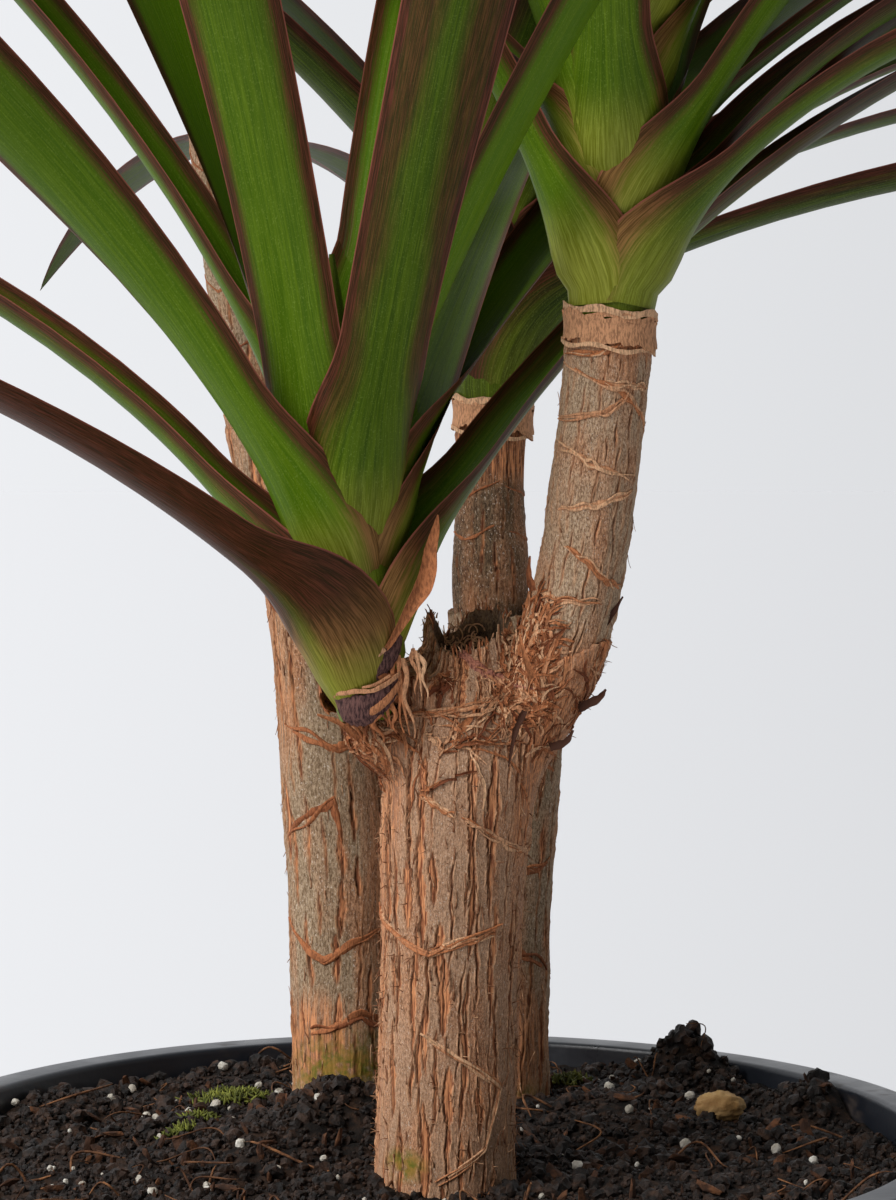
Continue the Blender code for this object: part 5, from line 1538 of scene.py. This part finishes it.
def head_piece(head, leaves, finish):
    """All leaves of a head with the stem inside their sheaths, in one piece with its own map."""
    points, faces, map_points = [], [], []
    marks = {"across": [], "share": [], "maroon": [], "bright": [], "kind": []}
    cells = 2 * len(leaves) + 1
    map_rows = math.ceil(cells / MAP_COLUMNS)
    base = 0
    for number, (leaf, maroon, bright) in enumerate(leaves):
        lift = 0.0013 * (1 - min(leaf.rise / 0.03, 1.0)) + 0.00014 * (2 - number % 3)
        rings, across, shares = blade_rings(head, leaf, lift)
        rows, sides = rings.shape[:2]
        points.append(rings.reshape(-1, 3))
        for spot, face in enumerate(tube_faces(rows, sides, (1, 0, 3, 2))):
            # The outer face of a leaf has one cell of the map, its inner face and both ends the next
            flat = len(face) > 4
            cell = 2 * number + (flat or spot % sides >= BLADE_COLUMNS - 1)
            left, low = (cell % MAP_COLUMNS) / MAP_COLUMNS, (cell // MAP_COLUMNS) / map_rows
            faces.append(tuple(base + k for k in face))
            map_points += [(left + (0.5 + (0.0 if flat else 0.46 * across[k % sides])) / MAP_COLUMNS,
                            low + (0.02 + 0.96 * shares[k // sides]) / map_rows) for k in face]
        marks["across"].append(np.tile(across, rows))
        marks["share"].append(np.repeat(shares, sides))
        for label, value in (("maroon", maroon), ("bright", bright), ("kind", number * 0.37)):
            marks[label].append(np.full(rows * sides, value))
        base += rows * sides
    turns = full_turn(CORE_SIDES)
    for height, size in CORE_PROFILE:
        size *= 1 - drawn_in(head, CORE_HEIGHT * height - ROOT_LIFT)
        points.append(np.array(head.base) + unit(head.lean) * CORE_HEIGHT * height
                      + (head.radius + CORE_LIFT) * size * spokes(head.lean, turns))
    for face in tube_faces(len(CORE_PROFILE), CORE_SIDES):
        faces.append(tuple(base + k for k in face))
        map_points += [((cells - 1) % MAP_COLUMNS / MAP_COLUMNS + 0.02 * (k % CORE_SIDES) / CORE_SIDES,
                        (map_rows - 1 + 0.1 + 0.1 * (k // CORE_SIDES)) / map_rows) for k in face]
    marks["across"].append(np.tile(0.5 * np.sin(3 * turns), len(CORE_PROFILE)))
    # The stem inside a rear head is darker too: painted shade
    bright = 0.05 if head.name.startswith("rear") else 0.35
    for label, value in (("share", 0.04), ("maroon", 0.3), ("bright", bright), ("kind", 9.9)):
        marks[label].append(np.full(CORE_SIDES * len(CORE_PROFILE), value))
    piece = mesh_piece(head.name + "_leaves", np.vstack(points), faces)
    for label, values in marks.items():
        mark(piece, label, np.concatenate(values))
    layer = piece.data.uv_layers.new(name="OFBake")
    layer.data.foreach_set("uv", np.array(map_points, float).ravel())
    piece.data.set_sharp_from_angle(angle=math.radians(60))
    piece.data.materials.append(finish)
    return piece


def leaf_finish():
    """Satin leaf: green with maroon margins, veins along it and a pale sheath at its foot."""
    finish, tree, shader = new_finish("leaf_dracaena", 0.45, 0.12)
    across, share, kind = (attribute(tree, label) for label in ("across", "share", "kind"))
    # bright is each leaf's green tone, lowered on the rear heads as painted shade; there it also dims the
    # pale feet and tan margins
    maroon, bright = attribute(tree, "maroon"), attribute(tree, "bright")
    edge = arithmetic(tree, "ABSOLUTE", across)

    def lengthwise(cells, scale, detail, roughness):
        """Noise with so many cells across a leaf, along it and from one leaf to the next."""
        parts = [product(tree, value, count) for value, count in zip((across, share, kind), cells)]
        place = add_node(tree, "ShaderNodeCombineXYZ", enumerate(parts))
        return add_node(tree, "ShaderNodeTexNoise", {"Vector": place.outputs[0], "Scale": scale,
                                                     "Detail": detail, "Roughness": roughness}).outputs["Fac"]

    veins = lengthwise((9.0, 5.0, 7.0), 2.2, 3.0, 0.6)
    blotch = lengthwise((1.2, 9.0, 1.0), 1.5, 2.0, 0.5)
    grain = lengthwise((60.0, 55.0, 7.0), 1.0, 3.0, 0.65)
    dots = pattern(tree, 3400.0, 2600.0, 0.5)
    green = layered(tree, mix_colour(tree, bright, shade(34, 46, 0), shade(90, 130, 8)), (
        (ramp(tree, veins, 0.35, 0.70, 0.0, 0.28), shade(124, 150, 24)),
        (ramp(tree, grain, 0.45, 0.75, 0.0, 0.22), shade(150, 176, 60)),
        (ramp(tree, dots, 0.56, 0.68, 0.0, 0.16), shade(170, 190, 96)),
        (ramp(tree, share, 0.08, 0.45, 0.0, 0.40), shade(28, 32, 0))))
    foot = product(tree, ramp(tree, share, 0.014, 0.058, 1.0, 0.0),
                   ramp(tree, bright, 0.15, 0.45, 0.15, 0.80))
    pale = mix_colour(tree, ramp(tree, grain, 0.30, 0.75), shade(128, 126, 32), shade(182, 184, 78))
    red = mix_colour(tree, ramp(tree, grain, 0.35, 0.7), shade(44, 15, 9), shade(102, 44, 36))
    tan = mix_colour(tree, ramp(tree, grain, 0.35, 0.65), shade(104, 64, 34), shade(168, 122, 72))
    dry = product(tree, ramp(tree, share, 0.022, 0.062, 0.8, 0.0), ramp(tree, bright, 0.20, 0.30))
    # The wash spreads inwards from the margins, further on the more maroon leaves and up the blade
    spread = product(tree, maroon, ramp(tree, share, 0.0, 0.45, 0.55, 1.15))
    reach = arithmetic(tree, "SUBTRACT", 0.95, product(tree, spread, 1.10))
    wash = arithmetic(tree, "SUBTRACT", arithmetic(tree, "ADD", edge, product(tree, blotch, 0.5)),
                      arithmetic(tree, "ADD", reach, 0.25))
    wash = product(tree, ramp(tree, wash, -0.12, 0.30), ramp(tree, share, 0.010, 0.036, 0.25, 1.0))
    strength = arithmetic(tree, "MINIMUM", arithmetic(tree, "MULTIPLY_ADD", maroon, 0.6, 0.3), 0.92)
    uneven = product(tree, arithmetic(tree, "SUBTRACT", grain, 0.5), 0.35)
    margin = product(tree, ramp(tree, arithmetic(tree, "ADD", edge, uneven), 0.60, 0.86), 0.92)
    paint(tree, shader, layered(tree, green, (
        (foot, pale),
        (arithmetic(tree, "MAXIMUM", product(tree, wash, strength), margin), mix_colour(tree, dry, red, tan)),
        (ramp(tree, edge, 0.965, 0.99, 0.0, 0.6), shade(162, 92, 76)))))
    tree.links.new(ramp(tree, veins, 0.2, 0.8, 0.40, 0.56), shader.inputs["Roughness"])
    bump(tree, shader, veins, 0.00012)
    return finish


leaf_green = leaf_finish()
for head in HEADS:
    seat(head_piece(head, grown[head.name], leaf_green), "leaf_green", head.name)


# Setting
# A pale floor and plain soft studio light from the left and front, seen level with the
# forks through a long lens. The air's light falls off to the right, and the floor's colour falls off
# alike as painted light on its left and painted shade on its right, so no horizon shows.
CAMERA_PLACE = (0.005, -0.630, 0.306)
# Side from -1 to 1 and strength from 1.36 to 0.64: the air's light, and the floor's painted light and shade
FALL_OFF = (-1.0, 1.0, 1.36, 0.64)
NEAR_PLANT = 0.6
FLOOR_RINGS = (0.6, 2.0, 6.0, 30.0)
FLOOR_SIDES = 96
FLOOR_LEVEL = -0.0005


floor_rings = polar(np.array(FLOOR_RINGS)[:, None], full_turn(FLOOR_SIDES), FLOOR_LEVEL)
floor_faces = [(0, 1 + k, 1 + (k + 1) % FLOOR_SIDES) for k in range(FLOOR_SIDES)]
floor_faces += [(low + k, low + FLOOR_SIDES + k, low + FLOOR_SIDES + (k + 1) % FLOOR_SIDES,
                 low + (k + 1) % FLOOR_SIDES)
                for low in range(1, FLOOR_SIDES * (len(FLOOR_RINGS) - 1), FLOOR_SIDES)
                for k in range(FLOOR_SIDES)]
floor = mesh_piece("floor", [(0.0, 0.0, FLOOR_LEVEL), *floor_rings.reshape(-1, 3)], floor_faces)
floor_finish, tree, shader = new_finish("floor_pale", 0.9, 0.0)
on_floor = tree.nodes.new("ShaderNodeTexCoord").outputs["Object"]
reach = add_node(tree, "ShaderNodeVectorMath", {0: on_floor}, operation="LENGTH").outputs["Value"]
side = arithmetic(tree, "DIVIDE", add_node(tree, "ShaderNodeSeparateXYZ", {0: on_floor}).outputs["X"],
                  arithmetic(tree, "ADD", reach, NEAR_PLANT))
# The floor's colour is painted lighter to the left and darker to the right: painted light and shade that
# follow the air
floor_light_and_shade = add_node(tree, "ShaderNodeVectorMath", {0: (0.659, 0.664, 0.677),
                                                     "Scale": ramp(tree, side, *FALL_OFF)},
                      operation="SCALE")
paint(tree, shader, floor_light_and_shade.outputs[0])
floor.data.materials.append(floor_finish)

world = bpy.data.worlds.new("studio_air")
world.use_nodes = True
air = world.node_tree
direction = add_node(air, "ShaderNodeSeparateXYZ",
                     {0: air.nodes.new("ShaderNodeTexCoord").outputs["Generated"]})
fading = product(air, ramp(air, direction.outputs["Y"], -0.35, 0.45, 0.17, 0.80),
                 ramp(air, direction.outputs["X"], *FALL_OFF))
air.nodes["Background"].inputs["Color"].default_value = (0.985, 1.0, 1.03, 1.0)
air.links.new(fading, air.nodes["Background"].inputs["Strength"])
bpy.context.scene.world = world
sun = bpy.data.lights.new("window", "SUN")
sun.energy = 3.6
sun.angle = math.radians(38)
window = bpy.data.objects.new("window", sun)
window.rotation_euler = Vector((0.80, 0.62, -0.85)).to_track_quat("-Z", "Y").to_euler()
bpy.context.scene.collection.objects.link(window)
bpy.context.scene.view_settings.view_transform = "Standard"

lens = bpy.data.cameras.new("camera")
lens.lens = 97.2
lens.clip_start = 0.02
camera = bpy.data.objects.new("camera", lens)
camera.location = CAMERA_PLACE
camera.rotation_euler = (math.radians(87.5), 0.0, 0.0)
bpy.context.scene.collection.objects.link(camera)
bpy.context.scene.camera = camera
